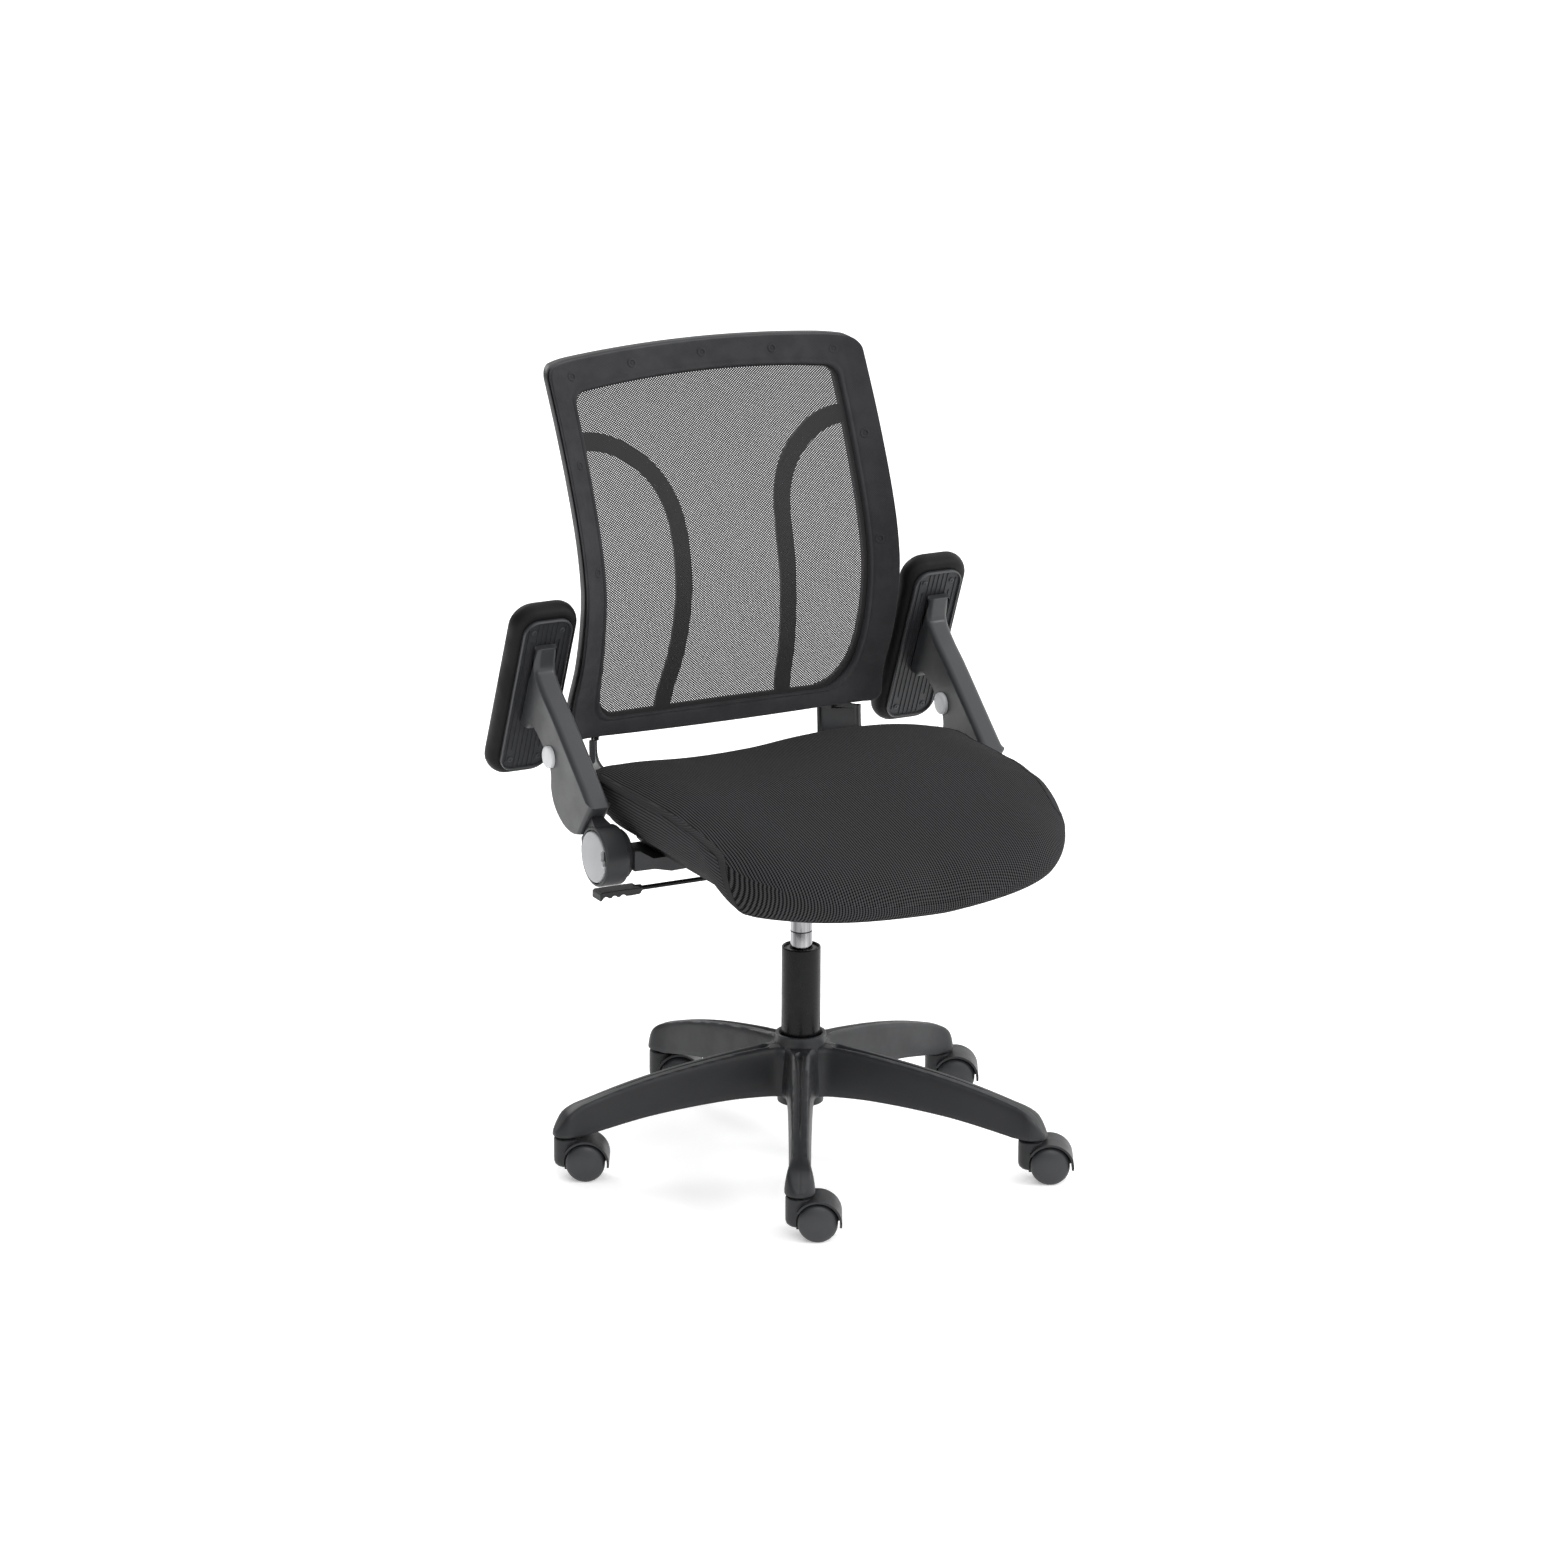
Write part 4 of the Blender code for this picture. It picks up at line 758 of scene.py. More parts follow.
SEAT_HALF_WIDTH = 0.2545
SEAT_MIDDLE_X = -0.0035
SEAT_REAR_Y = 0.117
SEAT_FRONT_Y = -0.394
SEAT_WAIST_Y = -0.145
SEAT_HEEL_Y = 0.010
SEAT_FOOT_Z = 0.4506
SEAT_MIDDLE_Y = (SEAT_REAR_Y + SEAT_FRONT_Y) / 2
SEAT_EDGE = [(-0.394, 0.4560), (-0.375, 0.4650), (-0.345, 0.4755), (-0.30, 0.4875), (-0.267, 0.4960),
             (-0.20, 0.5090), (-0.15, 0.5170), (-0.10, 0.5210), (0.02, 0.5212), (0.115, 0.5185)]
# The foam's own unevenness along the rear edge: how far it stands over the even height, across the seat.
REAR_WAVE = [(-0.26, 0.0), (-0.20, -0.003), (-0.12, -0.0075), (-0.03, -0.0055), (0.05, 0.0015),
             (0.12, 0.0050), (0.18, 0.0040), (0.26, 0.0)]
# How the top rises from its edge to its middle: (share of the outline, height over the edge). The front
# rolls over.
SEAT_CROWN = [(0.0, 0.0135), (0.40, 0.0128), (0.72, 0.0105), (0.86, 0.0082), (0.94, 0.0055), (0.98, 0.0025),
              (1.0, -0.0010)]
FRONT_CROWN = [(0.0, 0.0135), (0.40, 0.0128), (0.72, 0.0110), (0.84, 0.0095), (0.90, 0.0068),
               (0.945, 0.0020), (0.975, -0.0040), (1.0, -0.0120)]
# The side, from the top edge down and in under the lip: (share of the outline, share of the way from the
# board to the top edge, height over that; share of the way from the lip to the front edge, height over that).
SEAT_SIDE = [(1.004, 0.950, 0, 0.88, 0), (1.006, 0.88, 0, 0.76, 0), (1.005, 0.77, 0, 0.64, 0),
             (1.001, 0.65, 0, 0.52, 0), (0.996, 0.52, 0, 0.41, 0), (0.989, 0.39, 0, 0.31, 0),
             (0.981, 0.26, 0, 0.21, 0), (0.971, 0.14, 0.001, 0.12, 0), (0.958, 0.05, 0.002, 0.05, 0),
             (0.940, 0, 0.001, 0.01, 0), (0.914, 0, 0, 0, 0.0010), (0.882, 0, 0, 0, 0.0100),
             (0.845, 0, 0, 0, 0.0215)]
LIP_Z = 0.4215
# The plan's corners as powers of a superellipse: a larger one is squarer.
REAR_POWER = {1: 2.7, -1: 6.0}
FRONT_POWER = {1: 2.45, -1: 2.7}
# The seam's depth against the distance forwards: -1 is a little way in on top, and 1 and over are down
# the side.
SEAM_DEPTH = [(-0.12, 0.3), (0.08, 0.2), (0.14, -0.4), (0.20, -1.0), (0.238, -1.0), (0.254, 0.0),
              (0.266, 3.5), (0.276, 7.5), (0.284, 10.0)]
SEAM_END_Y = -0.284
BRACKET_BOLTS = ((0.118, -0.028, 0.4206), (0.118, 0.018, 0.4206), (0.160, -0.005, 0.4194))
BINDING_HALF_WIDTH = 0.0046
BINDING_RISE = 0.0009
STITCH_HALF_WIDTH = 0.0004
STITCH_RISE = 0.0005
TOP_CELLS = 72


def seat_curve(count):
    """The cushion's plan as evenly spaced points: a deep round front, and rear corners that differ."""
    fine = []
    for i in range(2880):
        angle = 2 * math.pi * i / 2880
        side, ahead = math.cos(angle), math.sin(angle)
        hand = 1 if side > 0 else -1
        power, middle, reach = REAR_POWER[hand], SEAT_HEEL_Y, SEAT_REAR_Y - SEAT_HEEL_Y
        if ahead < 0:
            power, middle, reach = FRONT_POWER[hand], SEAT_WAIST_Y, SEAT_WAIST_Y - SEAT_FRONT_Y
        x = SEAT_MIDDLE_X + SEAT_HALF_WIDTH * math.copysign(abs(side) ** (2 / power), side)
        fine.append((x, middle + reach * math.copysign(abs(ahead) ** (2 / power), ahead)))
    fine = np.array(fine)
    steps = np.linalg.norm(np.roll(fine, -1, axis=0) - fine, axis=1)
    run = np.concatenate([[0], np.cumsum(steps)])
    ring = np.vstack([fine, fine[:1]])
    spots = np.linspace(0, run[-1], count, endpoint=False)
    return np.stack([np.interp(spots, run, ring[:, axis]) for axis in (0, 1)], axis=1)


def corner_spots(curve):
    """Where the outline's four corners are, as indices: the points furthest out along each diagonal."""
    middle = np.array([SEAT_MIDDLE_X, SEAT_MIDDLE_Y])
    centred = (curve - middle) / np.array([SEAT_HALF_WIDTH, (SEAT_REAR_Y - SEAT_FRONT_Y) / 2])
    return [int(np.argmax(centred @ np.array(d))) for d in ((1, 1), (-1, 1), (-1, -1), (1, -1))]


def edge_height(y):
    return smooth_value(SEAT_EDGE, y)


def frontness(y):
    """0 beside the seat and 1 round its front, where the cover rolls over with no seam."""
    share = clamped((-0.185 - y) / 0.115)
    return share * share * (3 - 2 * share)


def rear_wave(x, y):
    """The rear edge's unevenness, which dies out towards the seat's middle."""
    share = clamped((y + 0.14) / 0.20)
    return smooth_value(REAR_WAVE, x) * share * share * (3 - 2 * share)


def top_point(x, y, share):
    """A point of the cushion's top, from its outline point and its share of the way out from the middle."""
    front = frontness(y)
    y = SEAT_MIDDLE_Y + (y - SEAT_MIDDLE_Y) * share
    crown = smooth_value(SEAT_CROWN, share) * (1 - front) + smooth_value(FRONT_CROWN, share) * front
    return (x * share, y, edge_height(y) + crown + rear_wave(x * share, y))


def side_point(x, y, row):
    """A point of the cushion's side or underside lip. The side band tapers in, and the front lip hangs."""
    share, climb, rise, front_climb, front_rise = row
    front = frontness(y)
    share -= 0.032 * (1 - climb) * (1 - front)
    y = SEAT_MIDDLE_Y + (y - SEAT_MIDDLE_Y) * share
    beside = SEAT_FOOT_Z + rise + (edge_height(y) + rear_wave(x * share, y) - SEAT_FOOT_Z) * climb
    lip = LIP_Z + 0.068 * max(x, 0) + 0.004 * min(x, 0)
    below = lip + front_rise + (edge_height(y) - 0.0120 - lip) * front_climb
    return (x * share, y, beside * (1 - front) + below * front)


def square_ring(cells):
    """The border of a square grid of cells as (column, row), anticlockwise from its right column's foot."""
    right = [(cells, j) for j in range(cells)]
    top = [(cells - i, cells) for i in range(cells)]
    left = [(0, cells - j) for j in range(cells)]
    foot = [(i, 0) for i in range(cells)]
    return right + top + left + foot


def grid_outline(curve):
    """For each border cell of the top's grid, its point of the outline. The corners of both meet."""
    count, corners = len(curve), corner_spots(curve)
    order = [corners[3], corners[0], corners[1], corners[2]]
    points = []
    for a, b in zip(order, order[1:] + order[:1]):
        span = (b - a) % count
        for i in range(TOP_CELLS):
            points.append(curve[int(round(a + span * i / TOP_CELLS)) % count])
    return points


def cushion_mesh():
    """The whole cushion as quads: a gridded top, a ringed side and a gridded underside. Returns the mesh
    with, for each vertex, its depth and its outline's y. The depth is 0 and under on top, 1 and over down the
    side, and 99 underneath."""
    border = grid_outline(seat_curve(4800))
    n = TOP_CELLS
    vertices, places = [], []

    def grid(place, depth_of):
        index = {}
        for j in range(n + 1):
            for i in range(n + 1):
                s, t = 2 * i / n - 1, 2 * j / n - 1
                share = max(abs(s), abs(t))
                outer = np.array((SEAT_MIDDLE_X, SEAT_MIDDLE_Y))
                if share:
                    spot = ring_spot(s / share, t / share, n)
                    low, part = int(math.floor(spot)) % (4 * n), spot - math.floor(spot)
                    outer = np.array(border[low]) * (1 - part) + np.array(border[(low + 1) % (4 * n)]) * part
                index[i, j] = len(vertices)
                vertices.append(place(outer[0], outer[1], share))
                places.append((depth_of(share), outer[1]))
        return index

    top = grid(top_point, lambda share: (share - 1) / 0.035)
    rings = [[top[cell] for cell in square_ring(n)]]
    for level, row in enumerate(SEAT_SIDE):
        rings.append([len(vertices) + i for i in range(len(border))])
        vertices += [side_point(x, y, row) for x, y in border]
        places += [(level + 1, y) for _, y in border]
    foot_share = SEAT_SIDE[-1][0] * 0.985
    under = grid(lambda x, y, share: side_point(x, y, (share * foot_share, 0, 0, 0, SEAT_FOOT_Z - LIP_Z)),
                 lambda share: 99)
    rings.append([under[cell] for cell in square_ring(n)])
    faces = []
    for j in range(n):
        for i in range(n):
            faces.append((top[i, j], top[i + 1, j], top[i + 1, j + 1], top[i, j + 1]))
            faces.append((under[i, j], under[i, j + 1], under[i + 1, j + 1], under[i + 1, j]))
    for upper, lower in zip(rings, rings[1:]):
        for k in range(len(upper)):
            m = (k + 1) % len(upper)
            faces.append((upper[k], lower[k], lower[m], upper[m]))
    mesh = bpy.data.meshes.new("cushion")
    mesh.from_pydata([tuple(map(float, v)) for v in vertices], [], faces)
    mesh.update()
    return mesh, places


def ring_spot(a, b, n):
    """Where a point of the unit square's border falls on the ring of square_ring."""
    if a >= 1 - 1e-9:
        return (b + 1) / 2 * n
    if b >= 1 - 1e-9:
        return n + (1 - a) / 2 * n
    if a <= -1 + 1e-9:
        return 2 * n + (1 - b) / 2 * n
    return 3 * n + (a + 1) / 2 * n


def weave_cushion(mesh, places):
    """The weave's UV map in metres: ribs run front to back on the top, and lengthwise on the side band."""
    depths = np.linspace(SEAT_FRONT_Y - 0.02, SEAT_REAR_Y + 0.02, 500)
    heights = np.array([edge_height(float(y)) for y in depths])
    run = np.concatenate([[0], np.cumsum(np.hypot(np.diff(depths), np.diff(heights)))])
    layer = mesh.uv_layers.new(name="weave")
    for face in mesh.polygons:
        depth = sum(places[v][0] for v in face.vertices) / len(face.vertices)
        y = sum(places[v][1] for v in face.vertices) / len(face.vertices)
        banded = y > SEAM_END_Y and depth > smooth_value(SEAM_DEPTH, -y)
        for loop in face.loop_indices:
            point = mesh.vertices[mesh.loops[loop].vertex_index].co
            if banded:
                layer.data[loop].uv = ((float(edge_height(point.y)) - point.z) * 0.75, WEAVE_CROSS / 12)
            else:
                drop = max(float(edge_height(point.y)) - point.z, 0) if depth > 0 else 0
                layer.data[loop].uv = (point.x, float(np.interp(point.y, depths, run)) - drop)


def points_of(mesh):
    points = np.empty(len(mesh.vertices) * 3)
    mesh.vertices.foreach_get("co", points)
    return points.reshape(-1, 3)


def evened(mesh, steps, passes):
    """Each vertex's movement averaged with its neighbours', so that foam-backed cloth doesn't crease."""
    ends = np.empty(len(mesh.edges) * 2, dtype=int)
    mesh.edges.foreach_get("vertices", ends)
    ends = ends.reshape(-1, 2)
    count = np.bincount(ends.ravel(), minlength=len(steps))[:, None]
    for _ in range(passes):
        total = np.zeros_like(steps)
        np.add.at(total, ends[:, 0], steps[ends[:, 1]])
        np.add.at(total, ends[:, 1], steps[ends[:, 0]])
        steps = (steps + total / count) / 2
    return steps


def inflate(obj, pins, pressure, frames, cap):
    """Swells a closed mesh as cloth under pressure, with some vertices held, and caps how far each moves."""
    group = obj.vertex_groups.new(name="held")
    for index, weight in pins:
        group.add([index], weight, "REPLACE")
    cloth = obj.modifiers.new("Cloth", "CLOTH")
    settings = cloth.settings
    settings.quality = 6
    settings.mass = 0.25
    settings.air_damping = 2.0
    settings.tension_stiffness = settings.compression_stiffness = 14
    settings.shear_stiffness = 6
    settings.bending_stiffness = 1.5
    settings.use_pressure = True
    settings.uniform_pressure_force = pressure
    settings.effector_weights.gravity = 0
    settings.vertex_group_mass = "held"
    cloth.collision_settings.use_collision = False
    scene = bpy.context.scene
    cloth.point_cache.frame_start, cloth.point_cache.frame_end = 1, frames
    for number in range(1, frames + 1):
        scene.frame_set(number)
    graph = bpy.context.evaluated_depsgraph_get()
    rest, swollen = points_of(obj.data), points_of(obj.evaluated_get(graph).data)
    steps = evened(obj.data, swollen - rest, 12)
    length = np.maximum(np.linalg.norm(steps, axis=1, keepdims=True), 1e-9)
    rest += steps / length * cap * np.tanh(length / cap)
    obj.data.vertices.foreach_set("co", rest.ravel())
    obj.modifiers.remove(cloth)
    obj.vertex_groups.clear()
    scene.frame_set(1)
    obj.data.update()


def shrink(mesh, amount):
    """Moves every vertex inwards along its normal."""
    normals = [v.normal.copy() for v in mesh.vertices]
    for vertex, normal in zip(mesh.vertices, normals):
        vertex.co = vertex.co - normal * amount


def seat_cushion():
    mesh, places = cushion_mesh()
    weave_cushion(mesh, places)
    shrink(mesh, 0.0025)
    obj = piece("seat_pad", mesh, "seat", "seat_fabric", ["seat_cushion"], sharp=180)
    pins = []
    for index, (depth, y) in enumerate(places):
        if depth > len(SEAT_SIDE) - 2:
            pins.append((index, 1.0))
        elif depth == 1 and y > SEAM_END_Y:
            pins.append((index, 0.35))
    inflate(obj, pins, 4.0, 20, 0.0060)
    modifier = obj.modifiers.new("Subdivision", "SUBSURF")
    modifier.levels = modifier.render_levels = 1
    return obj


def laid_on(surface, path):
    """A path snapped to a surface: each point's place, the surface's normal and the way across the path."""
    snapped = [surface.find_nearest(Vector(point))[:2] for point in path]
    places = [place for place, _ in snapped]
    return [(place, normal, heading(places, i).cross(normal).normalized())
            for i, (place, normal) in enumerate(snapped)]


def strip_mesh(line, half, rise, sides):
    """A strip of oval section along a line from laid_on, half of it sunk in the surface."""
    rings = []
    for place, normal, across in line:
        angles = [2 * math.pi * k / sides for k in range(sides)]
        rings.append([tuple(place + across * half * math.cos(a) + normal * rise * math.sin(a))
                      for a in angles])
    return loft(rings)


def seam_path(side):
    """Points near the seam: round the rear corner, forwards along the top edge, then down to the lip."""
    curve = [(x, y) for x, y in seat_curve(1200) if side * (x - SEAT_MIDDLE_X) > 0 and y > SEAM_END_Y]
    curve.sort(key=lambda p: math.atan2(p[1] - SEAT_MIDDLE_Y, side * (p[0] - SEAT_MIDDLE_X)), reverse=True)
    points = []
    for x, y in curve:
        depth = smooth_value(SEAM_DEPTH, -y)
        if depth < 1:
            a, b, part = top_point(x, y, 0.965), side_point(x, y, SEAT_SIDE[0]), (depth + 1) / 2
        else:
            low = int(depth)
            a, b, part = side_point(x, y, SEAT_SIDE[low - 1]), side_point(x, y, SEAT_SIDE[low]), depth - low
        points.append(tuple(p + (q - p) * part for p, q in zip(a, b)))
    return points


def build_seat():
    cushion = seat_cushion()
    bpy.context.view_layer.update()
    graph = bpy.context.evaluated_depsgraph_get()
    surface = BVHTree.FromObject(cushion, graph)
    stitches = []
    for name, side in SIDES:
        line = laid_on(surface, [Vector(p) + Vector((COLUMN.x, COLUMN.y, 0)) for p in seam_path(side)])
        band = strip_mesh(line, BINDING_HALF_WIDTH, BINDING_RISE, 12)
        layer = band.uv_layers.new(name="weave")
        for loop in band.loops:
            point = band.vertices[loop.vertex_index].co
            layer.data[loop.index].uv = (point.z + 0.3 * abs(point.x), point.y)
        piece(f"seat_binding_{name}", band, "seat", "piping", place=Matrix.Identity(4))
        for shift in (-1, 1):
            edge = [place + across * BINDING_HALF_WIDTH * shift for place, _, across in line]
            stitches.append(strip_mesh(laid_on(surface, edge), STITCH_HALF_WIDTH, STITCH_RISE, 8))
    piece("seat_seams", merged(stitches), "seat", "stitching", place=Matrix.Identity(4))
    dress("seat_board", "plywood", 0.0015)
    for name, side in SIDES:
        dress(f"arm_bracket_{name}", "nylon", 0.0018)
        spots = [facing_down(side * x, y, z) for x, y, z in BRACKET_BOLTS]
        piece(f"bracket_bolts_{name}", fixings(hex_head(0.0055, 0.0045), spots), "seat", "zinc")


# ---------------------------------------------------------------- back

BACK_HALF_WIDTH = 0.2225
BACK_LOW_Z = 0.524
BACK_HIGH_Z = 0.9935
WING_WIDTH = 0.045
WINDOW_HALF_WIDTH = 0.183
WINDOW_LOW_Z = 0.5500
WINDOW_HIGH_Z = 0.9570
MESH_HALF_WIDTH = 0.189
MESH_LOW_Z = 0.540
MESH_HIGH_Z = 0.9640
MESH_DEPTH = 0.0048
UPRIGHT_WIDTH = 0.066
UPRIGHT_THICKNESS = 0.008
UPRIGHT_TURN = math.radians(62)
TONGUE_PLACE = (0.1665, 0.2520)
TONGUE_HALF_WIDTH = 0.012
TONGUE_HIGH_Z = 0.5375
BACK_PROFILE = [(0.52, 0.2000), (0.564, 0.1975), (0.626, 0.1710), (0.690, 0.1560), (0.735, 0.1550),
                (0.80, 0.1715), (0.897, 0.2140), (1.00, 0.2700), (1.03, 0.2870)]
BACK_DEPTH = [(0.52, 0.0140), (0.58, 0.0175), (0.66, 0.0205), (0.75, 0.0235), (0.84, 0.0240), (1.0, 0.0200)]
BACK_BULGE = [(0.52, 0.0010), (0.58, 0.0060), (0.63, 0.0050), (0.75, 0.0020), (1.0, 0.0020)]


def back_y(x, z):
    """The back's front face: how far back it lies at a point, with a wing at each side and a low bulge."""
    share = clamped((BACK_HALF_WIDTH - abs(x)) / WING_WIDTH)
    middle = 1 - min(abs(x) / BACK_HALF_WIDTH, 1) ** 2
    dish = smooth_value(BACK_DEPTH, z) * share * (2 - share) - smooth_value(BACK_BULGE, z) * middle
    return smooth_value(BACK_PROFILE, z) + dish


def arched(outline, half_width, low, high, foot_arch, top_arch):
    """The outline with its top and foot edges arched upwards in the middle."""
    points = []
    for x, z in outline:
        lift = foot_arch + (top_arch - foot_arch) * clamped((z - low) / (high - low))
        points.append((x, z + lift * (1 - min(abs(x) / half_width, 1) ** 2)))
    return points


def back_outline(grow=0.0):
    outline = round_rectangle(BACK_HALF_WIDTH + grow, BACK_LOW_Z - grow, BACK_HIGH_Z + grow, 0.014 + grow,
                              44, 9)
    return arched(outline, BACK_HALF_WIDTH, BACK_LOW_Z, BACK_HIGH_Z, -0.003, 0.013)


def window_outline(grow=0.0, foot_radii=(0.022, 0.022)):
    """The window's edge. foot_radii are its lower corners' radii, on the sitter's left and on their right."""
    sides = []
    for foot_radius in foot_radii:
        sides.append(round_rectangle(WINDOW_HALF_WIDTH + grow, WINDOW_LOW_Z - grow, WINDOW_HIGH_Z + grow,
                                     0.011 + grow, 44, 9, foot_radius=foot_radius + grow))
    outline = [left if left[0] > 0 else right for left, right in zip(*sides)]
    narrowed = [(x * (1 - 0.055 * max(1 - (z - WINDOW_LOW_Z) / 0.12, 0) ** 2), z) for x, z in outline]
    return arched(narrowed, WINDOW_HALF_WIDTH, WINDOW_LOW_Z, WINDOW_HIGH_Z, 0.002, 0.012)


def ring_body(outer, inner, section):
    """A closed band between two outlines. section holds (share from inner to outer, depth behind face)."""
    rings = []
    for (outer_x, outer_z), (inner_x, inner_z) in zip(outer, inner):
        ring = []
        for share, depth in section:
            x, z = inner_x + (outer_x - inner_x) * share, inner_z + (outer_z - inner_z) * share
            ring.append((x, back_y(x, z) + depth, z))
        rings.append(ring)
    return loft(rings, endless=True)


def rib_mesh(side):
    """A curved rib from the shell's side band, near the top, down to its foot band."""
    path = [(0.196, 0.9035), (0.160, 0.8985), (0.127, 0.8830), (0.098, 0.8560), (0.0800, 0.8200),
            (0.0740, 0.7750), (0.0750, 0.7000), (0.0790, 0.6350), (0.0840, 0.5830), (0.0875, 0.5420)]
    rings = []
    points = smooth_path(path, 8)
    section = [(-1, 0.0082), (0, 0.0080), (1, 0.0082), (1.0, 0.0105), (0.94, 0.0140), (0.8, 0.0160),
               (0.6, 0.0167), (0, 0.0172), (-0.6, 0.0167), (-0.8, 0.0160), (-0.94, 0.0140), (-1.0, 0.0105)]
    for i, (x, z) in enumerate(points):
        before, after = points[max(i - 1, 0)], points[min(i + 1, len(points) - 1)]
        ahead = Vector((after[0] - before[0], after[1] - before[1])).normalized()
        ring = []
        for wide, depth in section:
            px, pz = x - ahead.y * wide * 0.011, z + ahead.x * wide * 0.011
            ring.append((side * px, back_y(px, pz) + depth, pz))
        rings.append(ring)
    return loft(rings)


def mesh_sheet():
    """The stretched mesh as one thin curved sheet, with its weave's UV map in metres, and its flat size."""
    columns, rows = 60, 84
    vertices = []
    for j in range(rows + 1):
        for i in range(columns + 1):
            x, share = MESH_HALF_WIDTH * (2 * i / columns - 1), j / rows
            arch = 0.002 + 0.010 * share
            z = MESH_LOW_Z + (MESH_HIGH_Z - MESH_LOW_Z) * share + arch * (1 - (x / MESH_HALF_WIDTH) ** 2)
            vertices.append((x, back_y(x, z) + MESH_DEPTH, z))
    width = columns + 1
    faces = [(j * width + i, j * width + i + 1, (j + 1) * width + i + 1, (j + 1) * width + i)
             for j in range(rows) for i in range(columns)]
    mesh = bpy.data.meshes.new("sheet")
    mesh.from_pydata(vertices, [], faces)
    middle = [Vector(vertices[j * width + columns // 2]) for j in range(rows + 1)]
    run = [0.0]
    for a, b in zip(middle, middle[1:]):
        run.append(run[-1] + (b - a).length)
    layer = mesh.uv_layers.new(name="weave")
    for loop in mesh.loops:
        layer.data[loop.index].uv = (vertices[loop.vertex_index][0], run[loop.vertex_index // width])
    return mesh, (2 * MESH_HALF_WIDTH, run[-1])


def tongue_mesh(side, grow, low, high):
    """The upright's flat head, from one height to another, or a socket for it when grown."""
    half, thick = TONGUE_HALF_WIDTH + grow, UPRIGHT_THICKNESS / 2 + grow
    along = (math.cos(UPRIGHT_TURN), -math.sin(UPRIGHT_TURN))
    over = (math.sin(UPRIGHT_TURN), math.cos(UPRIGHT_TURN))
    outline = []
    for a, b in ((-half, -thick), (half, -thick), (half, thick), (-half, thick)):
        x, y = (TONGUE_PLACE[i] + a * along[i] + b * over[i] for i in (0, 1))
        outline.append((side * x, y))
    return prism(outline, low, high, along_z)


def socket_mesh(side):
    """The block at the shell's foot that an upright plugs into."""
    outline = []
    for x, depth in ((0.1480, 0.0100), (0.2015, 0.0100), (0.2015, 0.0262), (0.1480, 0.0262)):
        outline.append((side * x, back_y(x, 0.5270) + depth))
    return prism(outline, 0.5209, 0.5330, along_z)


def upright_mesh(side):
    """A flanged bar from under the seat board that turns edge-on as it rises behind the cushion."""
    turned = (math.cos(UPRIGHT_TURN), -math.sin(UPRIGHT_TURN), 0)
    path = smooth_path([(0.150, 0.047, 0.4305), (0.152, 0.110, 0.4305), (0.160, 0.165, 0.4370),
                        (0.170, 0.208, 0.4530), (0.1775, 0.2330, 0.4800), (0.1780, 0.2370, 0.5100)], 8)
    path += [(0.1780, 0.2370, 0.5150), (0.1780, 0.2370, 0.5205)]
    section = [(-1, -0.6), (-0.98, -0.9), (-0.95, -1), (-0.88, -1), (-0.85, -0.9), (-0.82, -0.45),
               (-0.78, -0.35), (0.78, -0.35), (0.82, -0.45), (0.85, -0.9), (0.88, -1), (0.95, -1),
               (0.98, -0.9), (1, -0.6)]
    section += [(a, -b) for a, b in reversed(section)]
    rings = []
    for i, centre in enumerate(path):
        ahead = heading(path, i).normalized()
        turn = clamped((centre[2] - 0.431) / 0.055)
        wide = Vector((1, 0, 0)).lerp(Vector(turned), turn * turn * (3 - 2 * turn))
        wide = (wide - ahead * wide.dot(ahead)).normalized()
        thick = ahead.cross(wide)
        ring = []
        for a, b in section:
            x, y, z = Vector(centre) + wide * a * UPRIGHT_WIDTH / 2 + thick * b * UPRIGHT_THICKNESS / 2
            ring.append((side * x, y, z))
        rings.append(ring)
    return shaped(loft(rings), joins=[tongue_mesh(side, 0, 0.5100, TONGUE_HIGH_Z)])


def on_face(x, z, depth=0.0):
    """A matrix that puts z = 0 on the back's front face at a point, facing forwards."""
    step = 0.002
    right = Vector((step, back_y(x + step, z) - back_y(x, z), 0))
    up = Vector((0, back_y(x, z + step) - back_y(x, z), step))
    out = right.cross(up).normalized()
    place = Vector((x, back_y(x, z), z)) + out * depth
    return Matrix.Translation(place) @ out.to_track_quat("Z", "Y").to_matrix().to_4x4()


